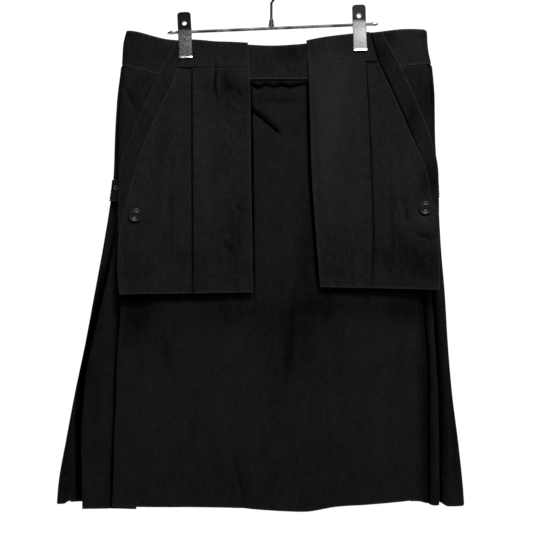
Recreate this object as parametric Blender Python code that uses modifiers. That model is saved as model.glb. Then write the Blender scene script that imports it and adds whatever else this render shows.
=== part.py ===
"""A black pleated kilt with two hanging pocket panels, held flat on a metal clip hanger.

Sizes are in millimetres and are turned to metres when a mesh is made. X runs to the right as the
wearer's front is seen, Y runs to the back, Z runs up. The origin is the point inside the top of the
hanger's hook that bears on a rail. A "drop" is a distance down from the centre of the hanger's rod.
"""
import math
from bisect import bisect_right
from types import SimpleNamespace

import bmesh
import bpy
from mathutils import Matrix, Vector

MM = 0.001
GAP = 0.3                      # air between two pieces that meet
COLLECTION = "kilt_on_clip_hanger"

# ---------------------------------------------------------------- hanger
HOOK_WIRE = 3.6                # wire's diameter
HOOK_RADIUS = 22.0             # of the hook's arc, at the wire's centre
HOOK_RISE = 66.0               # rod's centre up to the arc's centre
STEM_BOTTOM = 3.6              # height of the stem's lower end above the rod's centre
STEM_MIDDLE = 20.0
STEM_TOP = 36.0                # where the stem starts to bend
SWING_OUT, SWING_BELOW = 7.5, 20.0   # the bend's middle: right of the stem, below the arc's centre
ARC_STEPS, SWING_STEPS = 24, 4
ARC_START, ARC_END = -38.0, 200.0   # degrees, from the right round over the top to the left
ROD_DIAMETER = 4.2
ROD_LEFT, ROD_RIGHT = 147.0, 150.5
ROD_TILT = math.radians(2.4)   # the left end hangs lower
ROD_END_ROUND = 1.4
ROUND_SIDES = 16               # sides of the rod and of the round holes
FERRULE_TOP = 13.4             # height above the rod's centre
ORIGIN_DROP = -(HOOK_RISE + HOOK_RADIUS - HOOK_WIRE / 2)

CLIP_AT = {"left": -122.0, "right": 124.0}   # along the rod
CLIP_SHEET = 1.0
CLIP_HOLE_UP, CLIP_HOLE_DIAMETER = 12.0, 7.0
CLIP_CROWN = 0.5               # a plate's face bows out this much between its sides
CLIP_INSET = 1.4               # the back plate's ears stand this far inside the front plate's
BACK_JAW_CLOSER = 1.5          # the back jaw meets the bare waistband, the front one a panel
# Rows down one plate: height above the rod, half width, depth of the plate from the rod, and how
# far its folded sides reach back towards the rod.
CLIP_COLUMNS = ("up", "half_width", "stand", "rim")
CLIP_ROWS = (
    (27.0, 6.4, 12.6, 0.7), (25.2, 8.9, 12.2, 1.0), (22.0, 9.5, 11.6, 1.3), (8.5, 9.5, 8.3, 1.4),
    (6.0, 9.5, 7.8, 3.4), (3.6, 9.5, 7.4, 11.0), (-3.6, 9.5, 6.9, 10.5), (-6.0, 9.5, 6.8, 3.0),
    (-8.5, 9.5, 6.8, 1.4), (-20.0, 9.5, 6.9, 1.4), (-30.0, 9.5, 6.5, 0.8), (-33.6, 9.5, 6.2, 0.6),
    (-36.7, 9.5, 8.2, 0.6),
)
JAW_START, JAW_EASE = -6.0, 14.0
SPRING_WIRE, SPRING_RADIUS, SPRING_TURNS, SPRING_PITCH = 1.2, 3.6, 4, 2.2
SPRING_SIDES = 8
CUTTER_LONG = 60.0             # long enough to pass through a whole clip

# ---------------------------------------------------------------- garment, seen flat
BAND_WALL = 3.0                # waistband: folded cloth with its stiffener
BODY_WALL = 1.2                # skirt cloth
FLAP_WALL = 0.9                # pocket panels
FLAP_PITCH = 1.25              # step between the layers of a panel's pleat
FLAP_TUCK = 14.0               # how far that pleat is folded under
FLAP_START = 4.2               # the panel's face stands this far off the waistband at its top
FLAP_HANG, FLAP_HANG_OUT = 2.2, 3.2  # what it gains down to the skirt's middle: at all, and outside
END_SHARE = 1.6                # a side rounds over this share of the tube's half depth
PANEL_ROUNDING = 0.25          # a stiff panel rounds away less than the tube's side
BULGE = 0.10                   # share of the depth lost from the centre to the sides
SEAM_DROP, HEM_DROP = 72.0, 672.0    # waist seam and hem at the centre front, as the tables' levels
SEAM_FADE, HEM_FADE = 150.0, 110.0   # over these lengths the levels become straight
BAND_TOP = 3.0                 # the level that stands for the waistband's top edge
PINCH_REACH = 78.0             # half width of the dent that a clip makes
RIPPLE_WAVE, RIPPLE_PHASE = 168.0, 0.6
BAND_STEPS = 7                 # even steps along each half of the waistband
BAND_NEAR_SEAM = (0.65, 1.2, 2.6, 5.0, 9.0, 16.0)    # lengths from a side seam to its first points
TURNED_PLACES = (0.25, 0.55, 1.0)    # of a turned-back edge, on both its layers
SHARED_PLACES = (0.25, 0.5, 0.75)    # of the first back pleat's tuck, on all its layers
LAYER_PLACES = (0.3, 0.55, 0.8)      # of a side pleat's tuck, on all its layers
APRON_STEPS = 9                # even steps across the apron between its turned-back edges
SIDE_STEPS = 8                 # steps from the side pleat's fold round to the side seam
UNDER_APRON = 2.0              # the side piece starts this far past the apron's turned-back edge
SEAM_SHARES = (0.7, 0.75)      # of the gap, before and behind the side seam
FOLD_SHARE, SQUARE_SHARE = 0.5, 0.3  # how far a pointed and a square fold reach, of the pitch
DEEP_FOLD, FOLD_RISE = 2.0, 1.7      # a side pleat's fold, in pitches: its depth, what it may rise
PLEAT_RISE = 14.0              # a side pleat rises to the outer face over this width
FULL_TUCK_SHARE = 0.72         # a back pleat is tucked under at most this share of its width
AFTER_FOLD = (0.55, 0.9)       # a point between two back pleats: share of the width, in pitches
BACK_PLEATS = 6                # on each side of the centre back
FIRST_TUCK_SHARE = 0.45        # the pleat in the rounded side is tucked less
BAND_SEAM_GAP = 0.5            # the thick band's slanted edge needs a little more air
BODY_LEVELS = (72, 115, 157, 208, 258, 308, 377, 445, 512, 580, 648, 672)
BAND_LEVELS = (3, 24, 45, 60, 72)

# The tube at each level: its left and right edge, half its depth, the share of that depth which a
# clip presses away, the step from one pleat layer to the next, the depth of a pleat's tuck, and
# the share of a soft ripple.
TUBE_COLUMNS = ("drop", "left", "right", "half_depth", "pinch", "pitch", "tuck", "ripple")
TUBE = (
    (3.0, -206.5, 221.0, 7.0, 0.53, 1.7, 12.0, 0.0),
    (24.0, -210.0, 221.5, 7.4, 0.55, 1.7, 12.0, 0.0),
    (45.0, -211.0, 223.0, 8.4, 0.58, 1.7, 12.0, 0.0),
    (60.0, -211.5, 225.0, 9.4, 0.42, 1.7, 12.0, 0.0),
    (72.0, -212.0, 226.5, 10.5, 0.28, 1.7, 12.0, 0.0),
    (115.0, -217.5, 230.5, 12.8, 0.10, 1.7, 18.0, 0.0),
    (157.0, -220.5, 231.0, 14.8, 0.0, 1.8, 24.0, 0.0),
    (208.0, -222.5, 234.0, 17.2, 0.0, 2.0, 28.0, 0.01),
    (258.0, -229.0, 236.5, 19.8, 0.0, 2.3, 30.0, 0.02),
    (308.0, -237.3, 239.3, 22.4, 0.0, 2.7, 32.0, 0.03),
    (377.0, -250.0, 245.0, 26.2, 0.0, 3.4, 33.0, 0.04),
    (445.0, -262.7, 249.1, 30.0, 0.0, 4.2, 34.0, 0.05),
    (512.0, -276.8, 254.8, 33.5, 0.0, 4.9, 34.0, 0.06),
    (580.0, -289.5, 263.2, 36.5, 0.0, 5.5, 35.0, 0.06),
    (648.0, -300.8, 270.3, 39.0, 0.0, 6.0, 35.0, 0.06),
    (672.0, -302.5, 272.0, 40.0, 0.0, 6.0, 35.0, 0.06),
)

# The folded edge of the apron and of the first side pleat, on each side.
EDGE_COLUMNS = ("drop", "apron_left", "pleat_left", "apron_right", "pleat_right")
EDGES = (
    (72.0, -191.0, -197.0, 205.0, 211.0),
    (115.0, -201.0, -206.0, 213.0, 218.0),
    (157.0, -208.0, -212.0, 217.0, 221.5),
    (208.0, -214.3, -217.0, 219.0, 225.0),
    (308.0, -215.3, -218.5, 217.0, 226.0),
    (342.0, -215.3, -228.0, 216.7, 226.2),
    (377.0, -215.3, -237.3, 216.7, 227.0),
    (398.0, -216.0, -242.2, 217.6, 230.0),
    (445.0, -218.0, -256.5, 220.0, 233.5),
    (484.0, -219.4, -263.7, 220.6, 235.3),
    (552.0, -221.7, -269.3, 221.5, 237.2),
    (607.0, -225.5, -272.7, 222.2, 237.9),
    (672.0, -226.2, -274.0, 223.3, 236.9),
)

# Heights along the width: X against drop.
WAIST_TOP = (
    (-207, 8.0), (-202, 3.5), (-190, 4.9), (-168, 10.6), (-146, 15.6), (-112, 18.2), (-78, 20.6),
    (-33, 23.3), (0, 24.7), (46, 22.0), (80, 16.5), (102, 11.8), (148, 5.4), (193, 1.2), (215, 2.0),
    (222, 7.0),
)
WAIST_SEAM = (
    (-213, 50.9), (-157, 64.2), (-90, 70.5), (-30, 71.9), (50, 71.9), (110, 66.0), (183, 53.2),
    (227, 49.8),
)
APRON_HEM = (
    (-226, 670.0), (-180, 670.6), (-44, 671.9), (-10, 674.7), (46, 677.5), (91, 670.5), (131, 667.6),
    (181, 663.4), (199, 661.6), (213, 664.9), (223, 667.5),
)
LEFT_PLEAT_HEM = ((-280, 674.2), (-190, 674.2))
LEFT_SIDE_HEM = ((-303, 670.0), (-292, 669.0), (-281, 663.6), (-240, 663.4))
RIGHT_PLEAT_HEM = ((195, 659.5), (212, 661.5), (224, 669.4), (230, 670.0), (240, 665.0))
RIGHT_SIDE_HEM = ((235, 665.0), (249, 672.5), (268, 672.6), (273, 669.8))
BACK_HEM = ((-303, 668.5), (273, 668.5))

# One pocket panel on each side. "out" is the way to its outer edge. Each line is drop against X.
PANELS = {
    "left": SimpleNamespace(
        out=-1,
        top=((-136, 18.6), (-112, 16.2), (-78, 19.0), (-44, 20.4), (-33, 21.2)),
        band_end=55.8,
        inner=((16, -33.3), (72, -30.0), (214, -28.2), (372, -25.4)),
        mouth=((16, -120.5), (72.5, -137.5), (114.5, -157.4), (158.9, -177.2), (206.6, -193.2)),
        outer=((208.6, -213.9), (338, -215.9), (374, -213.2)),
        strip=((19, -134.4), (64.2, -157.6), (126.2, -186.1), (198, -213.0)),
        pleat=((55, -110.8), (214, -109.7), (374, -108.6)),
        hem=((-215, 374.3), (-120, 373.2), (-25, 371.5)),
        tab_top=213.6, tab_start=-205.0, ring=(-216.6, 224.8),
        button=(-190.4, 263.8), button_turn=0.0),
    "right": SimpleNamespace(
        out=1,
        top=((48, 18.3), (57, 16.2), (80, 12.0), (102, 9.2), (142, 5.0)),
        band_end=47.4,
        inner=((9, 48.6), (72, 52.6), (214, 57.0), (279, 61.6), (366, 68.0)),
        mouth=((5, 138.0), (47.2, 150.4), (94.8, 171.6), (141.7, 191.9), (203.7, 217.7)),
        outer=((205.6, 234.4), (280, 235.2), (368, 235.0)),
        strip=((5, 156.1), (56.5, 182.9), (105.9, 205.4), (189.6, 232.8)),
        pleat=((46, 132.0), (117, 135.6), (214, 139.2), (274, 141.3), (368, 139.0)),
        hem=((66, 364.2), (150, 366.0), (236, 368.0)),
        tab_top=208.0, tab_start=214.0, ring=(222.0, 219.0),
        button=(215.4, 253.7), button_turn=math.radians(14)),
}
PANEL_DROPS = (64.0, 73.0, 88.0, 115.0, 157.0, 206.6, 208.6, 258.0, 308.0, 345.0)
PANEL_INNER_PLACES = (0.0, 0.15, 0.4, 0.7)   # of the way from the inner edge to the pleat
PANEL_OUTER_PLACES = (0.3, 0.6, 0.85, 1.0)   # of the way from the pleat to the outer edge
FLAP_RETURN = 1.4              # the pleat's three layers come up this many pitches to the outer edge
PANEL_BAND_STEPS, PANEL_BAND_SHARES = 8, (0.0, 0.35, 0.7, 1.0)
SLANT_ROUNDS = 4               # times the slanted mouth and the curved top are matched
STRIP_END = 206.0              # the pocket's strip ends where its mouth is tacked shut
MOUTH_END = STRIP_END + 1.5    # below this the panel has its full width
STRIP_UNDERLAP, UNDERLAP_EASE = 6.0, 12.0
STRIP_STAND = 1.9              # the strip's face stands this far off the skirt
STRIP_LOW, STRIP_LIFT = 90.0, 1.6    # from this drop on it comes out to the panel by so much
STRIP_DROPS = (40.0, 64.0, 73.0, 88.0, 115.0, 157.0, STRIP_END)
STRIP_TOP_AT, STRIP_TOP_GAP = 20.0, 1.0
STRIP_STEPS = 4
TAB_HEIGHT, TAB_WALL, TAB_STEPS = 30.0, 2.4, 6
TAB_SHORT = 3.0                # the tab stops this far before the side seam
RING_RADIUS, RING_WIRE = 2.7, 0.75
RING_STEPS, RING_SIDES = 16, 6
# A button's half section: radius against height over the cloth.
BUTTON_PROFILE = (
    (0.0, 2.2), (5.4, 2.2), (6.6, 3.3), (8.3, 3.5), (9.3, 2.6), (9.5, 1.4), (8.2, 0.3), (0.0, 0.0),
)
BUTTON_HOLE_RADIUS, BUTTON_HOLE_SPREAD = 0.9, 1.9
BUTTON_HOLE_SIDES, BUTTON_HOLE_LONG = 8, 20.0
BUTTON_REACH = 4.0             # the cloth's slope is taken this far on both sides of a button
TURNED_STEPS = 24


# ---------------------------------------------------------------- reading the tables
def along(line, at):
    """The second column of a two-column table at one value of its first column."""
    keys = [row[0] for row in line]
    index = min(max(bisect_right(keys, at), 1), len(keys) - 1)
    (low, first), (high, second) = line[index - 1], line[index]
    share = min(max((at - low) / (high - low), 0.0), 1.0)
    return first + (second - first) * share


def row_at(columns, table, drop):
    """All the named columns of a table at one drop."""
    values = {name: along([(row[0], row[place]) for row in table], drop)
              for place, name in enumerate(columns)}
    return SimpleNamespace(**values)


def body_drop(level, x, hem):
    """The real drop of a point of the skirt, whose levels bend to the waist seam and the hem."""
    near_seam = max(0.0, 1.0 - (level - SEAM_DROP) / SEAM_FADE)
    near_hem = max(0.0, 1.0 - (HEM_DROP - level) / HEM_FADE)
    return (level + near_seam * (along(WAIST_SEAM, x) - SEAM_DROP) + near_hem * (hem - HEM_DROP))


def band_drop(level, x):
    """The real drop of a point of the waistband."""
    share = (level - BAND_TOP) / (SEAM_DROP - BAND_TOP)
    top = along(WAIST_TOP, x)
    return top + (along(WAIST_SEAM, x) - top) * share


def level_of(drop, x):
    """The level whose real drop this is: the inverse of the two functions above."""
    top, seam = along(WAIST_TOP, x), along(WAIST_SEAM, x)
    if drop < seam:
        return BAND_TOP + max(drop - top, 0.0) / (seam - top) * (SEAM_DROP - BAND_TOP)
    near_seam = (seam - SEAM_DROP) / SEAM_FADE
    level = (drop - near_seam * (SEAM_FADE + SEAM_DROP)) / (1.0 - near_seam)
    return level if level < SEAM_DROP + SEAM_FADE else drop


def clip_dent(x):
    """1 at a clip's middle, fading smoothly to 0."""
    dent = 0.0
    for place in CLIP_AT.values():
        reach = min(abs(x - place) / PINCH_REACH, 1.0)
        dent += 0.5 + 0.5 * math.cos(math.pi * reach)
    return dent


def bulged(share):
    """The share of the full depth at a share of the half width."""
    return 1.0 - BULGE * share ** 2


# ---------------------------------------------------------------- the flattened tube
class Section:
    """One level of the garment seen from above.

    A place on it is a length s round from the centre front, to the right when positive, and a
    depth n into the tube from its outer face.
    """

    FLAT_STEPS, ROUND_STEPS = 30, 16

    def __init__(self, level):
        self.level = level
        size = row_at(TUBE_COLUMNS, TUBE, level)
        self.size = size
        self.centre = (size.left + size.right) / 2
        self.half_width = (size.right - size.left) / 2
        self.end_width = END_SHARE * size.half_depth
        self.runs = {side: self.half_run(side) for side in (-1, 1)}

    def shaped(self, x, y):
        """A point of the plain oval after the clips' dents and the ripple."""
        wave = math.cos(2 * math.pi * x / RIPPLE_WAVE + RIPPLE_PHASE)
        y *= (1.0 - self.size.pinch * clip_dent(x)) * (1.0 + self.size.ripple * wave)
        return Vector((x, y))

    def half_run(self, side):
        """Points from the centre front round one side to the centre back, with their lengths."""
        depth, flat = self.size.half_depth, self.half_width - self.end_width
        front = [(flat * step / self.FLAT_STEPS, -depth) for step in range(self.FLAT_STEPS)]
        for step in range(self.ROUND_STEPS):
            angle = math.pi / 2 * step / self.ROUND_STEPS
            front.append((flat + self.end_width * math.sin(angle), -depth * math.cos(angle)))
        outline = front + [(self.half_width, 0.0)] + [(x, -y) for x, y in reversed(front)]
        points = [self.shaped(self.centre + side * x, y * bulged(x / self.half_width))
                  for x, y in outline]
        lengths = [0.0]
        for start, end in zip(points, points[1:]):
            lengths.append(lengths[-1] + (end - start).length)
        normals = []
        for index in range(len(points)):
            ahead = points[min(index + 1, len(points) - 1)] - points[max(index - 1, 0)]
            normals.append((Vector((-ahead.y, ahead.x)) * side).normalized())
        normals[0], normals[-1] = Vector((0.0, 1.0)), Vector((0.0, -1.0))
        return SimpleNamespace(points=points, lengths=lengths, normals=normals,
                               side_length=lengths[len(front)], length=lengths[-1])

    def place(self, s, n):
        """The plan position at length s and depth n."""
        run = self.runs[-1 if s < 0 else 1]
        reach = min(abs(s), run.length)
        index = min(max(bisect_right(run.lengths, reach), 1), len(run.lengths) - 1)
        low, high = run.lengths[index - 1], run.lengths[index]
        share = (reach - low) / (high - low)
        point = run.points[index - 1].lerp(run.points[index], share)
        normal = run.normals[index - 1].lerp(run.normals[index], share).normalized()
        return point + normal * n

    def length_to(self, x):
        """The length round the front to the place at X."""
        side = -1 if x < self.centre else 1
        run = self.runs[side]
        for index in range(1, len(run.points)):
            before, after = run.points[index - 1].x, run.points[index].x
            if (after - x) * side >= 0:
                share = (x - before) / (after - before)
                return side * (run.lengths[index - 1]
                               + share * (run.lengths[index] - run.lengths[index - 1]))
        return side * run.side_length


def front_face(x, drop):
    """Y of the face that a panel hangs in front of; it rounds away less than the tube does."""
    size = row_at(TUBE_COLUMNS, TUBE, level_of(drop, x))
    half_width = (size.right - size.left) / 2
    share = min(abs(x - (size.left + size.right) / 2) / half_width, 1.0)
    wave = math.cos(2 * math.pi * x / RIPPLE_WAVE + RIPPLE_PHASE)
    into_end = max(0.0, 1.0 - (1.0 - share) * half_width / (END_SHARE * size.half_depth))
    rounding = bulged(share) * (1.0 - PANEL_ROUNDING * into_end ** 2)
    return (-size.half_depth * rounding * (1.0 - size.pinch * clip_dent(x))
            * (1.0 + size.ripple * wave))


# ---------------------------------------------------------------- making objects
def fresh_scene():
    """Remove what the file starts with."""
    for thing in list(bpy.data.objects):
        bpy.data.objects.remove(thing, do_unlink=True)


def new_collection(name):
    """A collection linked into the scene."""
    made = bpy.data.collections.new(name)
    bpy.context.scene.collection.children.link(made)
    return made


def material(name, colour, roughness, metallic=0.0):
    """A Principled material; the colour is a linear grey or an RGB triple."""
    made = bpy.data.materials.new(name)
    made.use_nodes = True
    shader = made.node_tree.nodes["Principled BSDF"]
    rgb = (colour,) * 3 if isinstance(colour, float) else colour
    shader.inputs["Base Color"].default_value = (*rgb, 1.0)
    shader.inputs["Roughness"].default_value = roughness
    shader.inputs["Metallic"].default_value = metallic
    return made


def add_object(name, data, finish, parts):
    """An object with one material in the part's collection."""
    made = bpy.data.objects.new(name, data)
    if finish:
        data.materials.append(finish)
    parts.objects.link(made)
    return made


def to_world(x, y, drop):
    """Millimetres and a drop to the part's metres."""
    return Vector((x * MM, y * MM, -(drop - ORIGIN_DROP) * MM))


def sheet_mesh(name, rows):
    """An open grid of quads through rows of points, smooth shaded."""
    width = len(rows[0])
    points = [point for row in rows for point in row]
    faces = []
    for down in range(len(rows) - 1):
        for across in range(width - 1):
            corner = down * width + across
            faces.append((corner, corner + width, corner + width + 1, corner + 1))
    mesh = bpy.data.meshes.new(name)
    mesh.from_pydata(points, [], faces)
    mesh.validate()
    mesh.shade_smooth()
    return mesh


def add_wall(made, thickness):
    """Give an open sheet its thickness, both faces split into triangles alike."""
    split = made.modifiers.new("split", "TRIANGULATE")
    split.quad_method = "FIXED"
    wall = made.modifiers.new("wall", "SOLIDIFY")
    wall.thickness = thickness * MM
    wall.offset = 0.0
    wall.use_even_offset = True
    wall.thickness_clamp = 0.0


def cloth(name, rows, thickness, finish, parts):
    """A piece of cloth: a sheet through its rows, with its wall."""
    made = add_object(name, sheet_mesh(name, rows), finish, parts)
    add_wall(made, thickness)
    return made


def cut(made, cutter):
    """Take a cutter's volume out of an object."""
    boolean = made.modifiers.new("cut_" + cutter.name, "BOOLEAN")
    boolean.operation = "DIFFERENCE"
    boolean.solver = "EXACT"
    boolean.object = cutter


def cylinder_mesh(name, radius, length, sides, axis):
    """A capped cylinder centred on its own origin, along X, Y or Z."""
    shape = bmesh.new()
    bmesh.ops.create_cone(shape, cap_ends=True, segments=sides, radius1=radius * MM,
                          radius2=radius * MM, depth=length * MM)
    turn = {"X": Matrix.Rotation(math.pi / 2, 4, "Y"), "Y": Matrix.Rotation(math.pi / 2, 4, "X"),
            "Z": Matrix.Identity(4)}[axis]
    bmesh.ops.transform(shape, matrix=turn, verts=shape.verts)
    mesh = bpy.data.meshes.new(name)
    shape.to_mesh(mesh)
    shape.free()
    return mesh


def add_cutter(name, mesh, cutters, location=(0, 0, 0), rotation=(0, 0, 0)):
    """A shape that only takes material away."""
    made = bpy.data.objects.new(name, mesh)
    made.location = location
    made.rotation_euler = rotation
    made.display_type = "WIRE"
    made.hide_render = True
    cutters.objects.link(made)
    return made


def turned(name, profile, finish, parts, sides=TURNED_STEPS):
    """A solid of revolution round Z from a half section that starts and ends on the axis."""
    mesh = bpy.data.meshes.new(name)
    points = [(radius * MM, 0.0, height * MM) for radius, height in profile]
    mesh.from_pydata(points, [(index, index + 1) for index in range(len(points) - 1)], [])
    made = add_object(name, mesh, finish, parts)
    screw = made.modifiers.new("turn", "SCREW")
    screw.steps = sides
    screw.render_steps = sides
    screw.use_merge_vertices = True
    screw.merge_threshold = 0.00001
    screw.use_smooth_shade = True
    return made


def wire(name, path, diameter, finish, parts):
    """A round wire through world points."""
    curve = bpy.data.curves.new(name, "CURVE")
    curve.dimensions = "3D"
    curve.bevel_depth = diameter / 2 * MM
    curve.bevel_resolution = 2 if diameter > 2.0 else 1
    curve.use_fill_caps = True
    spline = curve.splines.new("POLY")
    spline.points.add(len(path) - 1)
    for place, point in zip(spline.points, path):
        place.co = (*point, 1.0)
    return add_object(name, curve, finish, parts)


def smooth_path(points, steps):
    """Points of a Catmull-Rom curve through the given ones."""
    padded = [points[0] * 2 - points[1], *points, points[-1] * 2 - points[-2]]
    path = []
    for index in range(1, len(padded) - 2):
        before, start, end, after = padded[index - 1:index + 3]
        for step in range(steps):
            t = step / steps
            path.append(0.5 * (2 * start + (end - before) * t
                               + (2 * before - 5 * start + 4 * end - after) * t ** 2
                               + (3 * start - before - 3 * end + after) * t ** 3))
    return path + [points[-1]]


# ---------------------------------------------------------------- hanger pieces
def make_hook(parts, chrome):
    """The hook's wire: a straight stem, a swing to the right and a long arc back to the left."""
    centre = Vector((0.0, 0.0, HOOK_RISE))
    arc = []
    for step in range(ARC_STEPS + 1):
        angle = math.radians(ARC_START + (ARC_END - ARC_START) * step / ARC_STEPS)
        arc.append(centre + HOOK_RADIUS * Vector((math.cos(angle), 0.0, math.sin(angle))))
    stem = [Vector((0.0, 0.0, height)) for height in (STEM_BOTTOM, STEM_MIDDLE, STEM_TOP)]
    swing = smooth_path([stem[-1], Vector((SWING_OUT, 0.0, HOOK_RISE - SWING_BELOW)), arc[0]],
                        SWING_STEPS)
    path = stem[:2] + swing + arc[1:]
    wire("hanger_hook", [to_world(point.x, point.y, -point.z) for point in path], HOOK_WIRE,
         chrome, parts)


def make_ferrule(parts, cutters, chrome):
    """The small cone that carries the hook on the rod."""
    rod = ROD_DIAMETER / 2
    profile = ((0.0, FERRULE_TOP), (2.7, FERRULE_TOP), (2.9, FERRULE_TOP - 3.0),
               (3.8, rod + GAP + 2.2), (4.2, rod + GAP), (0.0, rod + GAP))
    made = turned("hanger_ferrule", profile, chrome, parts)
    made.location = to_world(0.0, 0.0, 0.0)
    made.data.shade_smooth()
    bore_top = 30.0
    bore_bottom = STEM_BOTTOM - GAP
    bore = cylinder_mesh("stem_bore", HOOK_WIRE / 2 + GAP, bore_top - bore_bottom, TURNED_STEPS, "Z")
    cut(made, add_cutter("stem_bore", bore, cutters,
                         to_world(0.0, 0.0, -(bore_top + bore_bottom) / 2)))


def make_rod(parts, chrome):
    """The straight rod with rounded ends."""
    mesh = cylinder_mesh("hanger_rod", ROD_DIAMETER / 2, ROD_LEFT + ROD_RIGHT, ROUND_SIDES, "X")
    made = add_object("hanger_rod", mesh, chrome, parts)
    middle = (ROD_RIGHT - ROD_LEFT) / 2
    made.rotation_euler = (0.0, -ROD_TILT, 0.0)
    made.location = to_world(middle * math.cos(ROD_TILT), 0.0, -middle * math.sin(ROD_TILT))
    ends = made.modifiers.new("round_ends", "BEVEL")
    ends.width = ROD_END_ROUND * MM
    ends.segments = 2
    ends.limit_method = "ANGLE"
    ends.angle_limit = math.radians(60)
    mesh.shade_smooth()
    mesh.set_sharp_from_angle(angle=math.radians(40))


def clip_rows(facing, inset):
    """Cross sections of one plate in the clip's own frame; facing is -1 in front, 1 behind."""
    rows = []
    for values in CLIP_ROWS:
        row = SimpleNamespace(**dict(zip(CLIP_COLUMNS, values)))
        into_jaw = min(max((JAW_START - row.up) / JAW_EASE, 0.0), 1.0)
        stand = row.stand - (BACK_JAW_CLOSER * into_jaw if facing > 0 else 0.0)
        depth, rim = facing * stand, facing * (stand - row.rim)
        crown = facing * CLIP_CROWN
        half = row.half_width - inset
        section = [(-half, rim), (-half, depth), (-half * 0.5, depth + crown), (0.0, depth + crown),
                   (half * 0.5, depth + crown), (half, depth), (half, rim)]
        rows.append([Vector((u * MM, v * MM, row.up * MM)) for u, v in section])
    return rows


def make_clip(side, parts, cutters, chrome, steel):
    """Two sprung plates on the rod, closed on the waistband."""
    reach = CLIP_AT[side]
    centre = to_world(reach * math.cos(ROD_TILT), 0.0, -reach * math.sin(ROD_TILT))
    turn = (0.0, -ROD_TILT, 0.0)
    bore = add_cutter(f"rod_bore_{side}",
                      cylinder_mesh("rod_bore", ROD_DIAMETER / 2 + GAP, CUTTER_LONG,
                                    ROUND_SIDES, "X"),
                      cutters, centre, turn)
    up = Vector((-math.sin(ROD_TILT), 0.0, math.cos(ROD_TILT)))
    hole = add_cutter(f"plate_hole_{side}",
                      cylinder_mesh("plate_hole", CLIP_HOLE_DIAMETER / 2, CUTTER_LONG,
                                    ROUND_SIDES, "Y"),
                      cutters, centre + up * CLIP_HOLE_UP * MM, turn)
    for where, facing, inset in (("front", -1, 0.0), ("back", 1, CLIP_INSET)):
        rows = clip_rows(facing, inset)
        if facing > 0:
            rows = [list(reversed(row)) for row in rows]
        name = f"clip_{side}_{where}"
        plate = add_object(name, sheet_mesh(name, rows), chrome, parts)
        plate.data.set_sharp_from_angle(angle=math.radians(50))
        plate.location = centre
        plate.rotation_euler = turn
        add_wall(plate, CLIP_SHEET)
        cut(plate, bore)
        cut(plate, hole)
    coil = []
    for step in range(SPRING_TURNS * SPRING_SIDES + 1):
        angle = 2 * math.pi * step / SPRING_SIDES
        along_rod = (step / SPRING_SIDES - SPRING_TURNS / 2) * SPRING_PITCH
        coil.append(Vector((along_rod, SPRING_RADIUS * math.cos(angle),
                            SPRING_RADIUS * math.sin(angle))) * MM)
    spring = wire(f"clip_{side}_spring", coil, SPRING_WIRE, steel, parts)
    spring.location = centre
    spring.rotation_euler = turn


# ---------------------------------------------------------------- waistband and skirt
def make_waistband(parts, finish):
    """Two curved bands that meet at the side seams."""
    for name, back in (("waistband_front", False), ("waistband_back", True)):
        rows = []
        for level in BAND_LEVELS:
            section = Section(level)
            halves = {}
            for side, run in section.runs.items():
                seam = run.side_length
                last = BAND_NEAR_SEAM[-1]
                span = (run.length - seam if back else seam) - last
                reach = list(BAND_NEAR_SEAM)
                reach += [last + span * step / BAND_STEPS for step in range(1, BAND_STEPS + 1)]
                halves[side] = [side * (seam + length if back else seam - length)
                                for length in reach]
            places = halves[-1] + halves[1][-2::-1]
            row = []
            for s in places:
                plan = section.place(s, BAND_WALL / 2)
                drop = band_drop(level, plan.x)
                drop -= BAND_SEAM_GAP if level == SEAM_DROP else 0.0
                row.append(to_world(plan.x, plan.y, drop))
            rows.append(row if not back else list(reversed(row)))
        cloth(name, rows, BAND_WALL, finish, parts)


def fold(s, depth, pitch, side):
    """Three places round a folded edge that points away from the centre front."""
    return [(s, depth), (s + side * pitch * FOLD_SHARE, depth + pitch / 2), (s, depth + pitch)]


def square_fold(s, depth, pitch, side):
    """Two places round a folded edge that points away from the side seam."""
    reach = side * pitch * SQUARE_SHARE
    return [(s + reach, depth), (s + reach, depth + pitch)]


def turn_back(s, depth, pitch, side):
    """Two places round the inner fold of a tuck."""
    return square_fold(s, depth, pitch, -side)


def skirt_piece(name, path_at, parts, finish):
    """A skirt panel: path_at(section) gives its (s, depth, hem table) places at one level."""
    rows = []
    for level in BODY_LEVELS:
        section = Section(level)
        row = []
        for s, depth, hem in path_at(section):
            plan = section.place(s, depth + BODY_WALL / 2)
            drop = body_drop(level, plan.x, along(hem, plan.x))
            drop += GAP / 2 if level == SEAM_DROP else 0.0
            row.append(to_world(plan.x, plan.y, drop))
        rows.append(row)
    return cloth(name, rows, BODY_WALL, finish, parts)


def apron_path(section):
    """The apron with a turned-back edge at each side."""
    edges = row_at(EDGE_COLUMNS, EDGES, section.level)
    pitch, tuck = section.size.pitch, section.size.tuck
    left, right = section.length_to(edges.apron_left), section.length_to(edges.apron_right)
    turned_back = [tuck * share for share in TURNED_PLACES]
    inside = (right - tuck) - (left + tuck)
    path = [(left + length, pitch) for length in reversed(turned_back)]
    path += reversed(fold(left, 0.0, pitch, -1))
    path += [(left + length, 0.0) for length in turned_back]
    path += [(left + tuck + inside * step / APRON_STEPS, 0.0) for step in range(1, APRON_STEPS)]
    path += [(right - length, 0.0) for length in reversed(turned_back)]
    path += fold(right, 0.0, pitch, 1)
    path += [(right - length, pitch) for length in turned_back]
    return [(s, depth, APRON_HEM) for s, depth in path]


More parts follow.
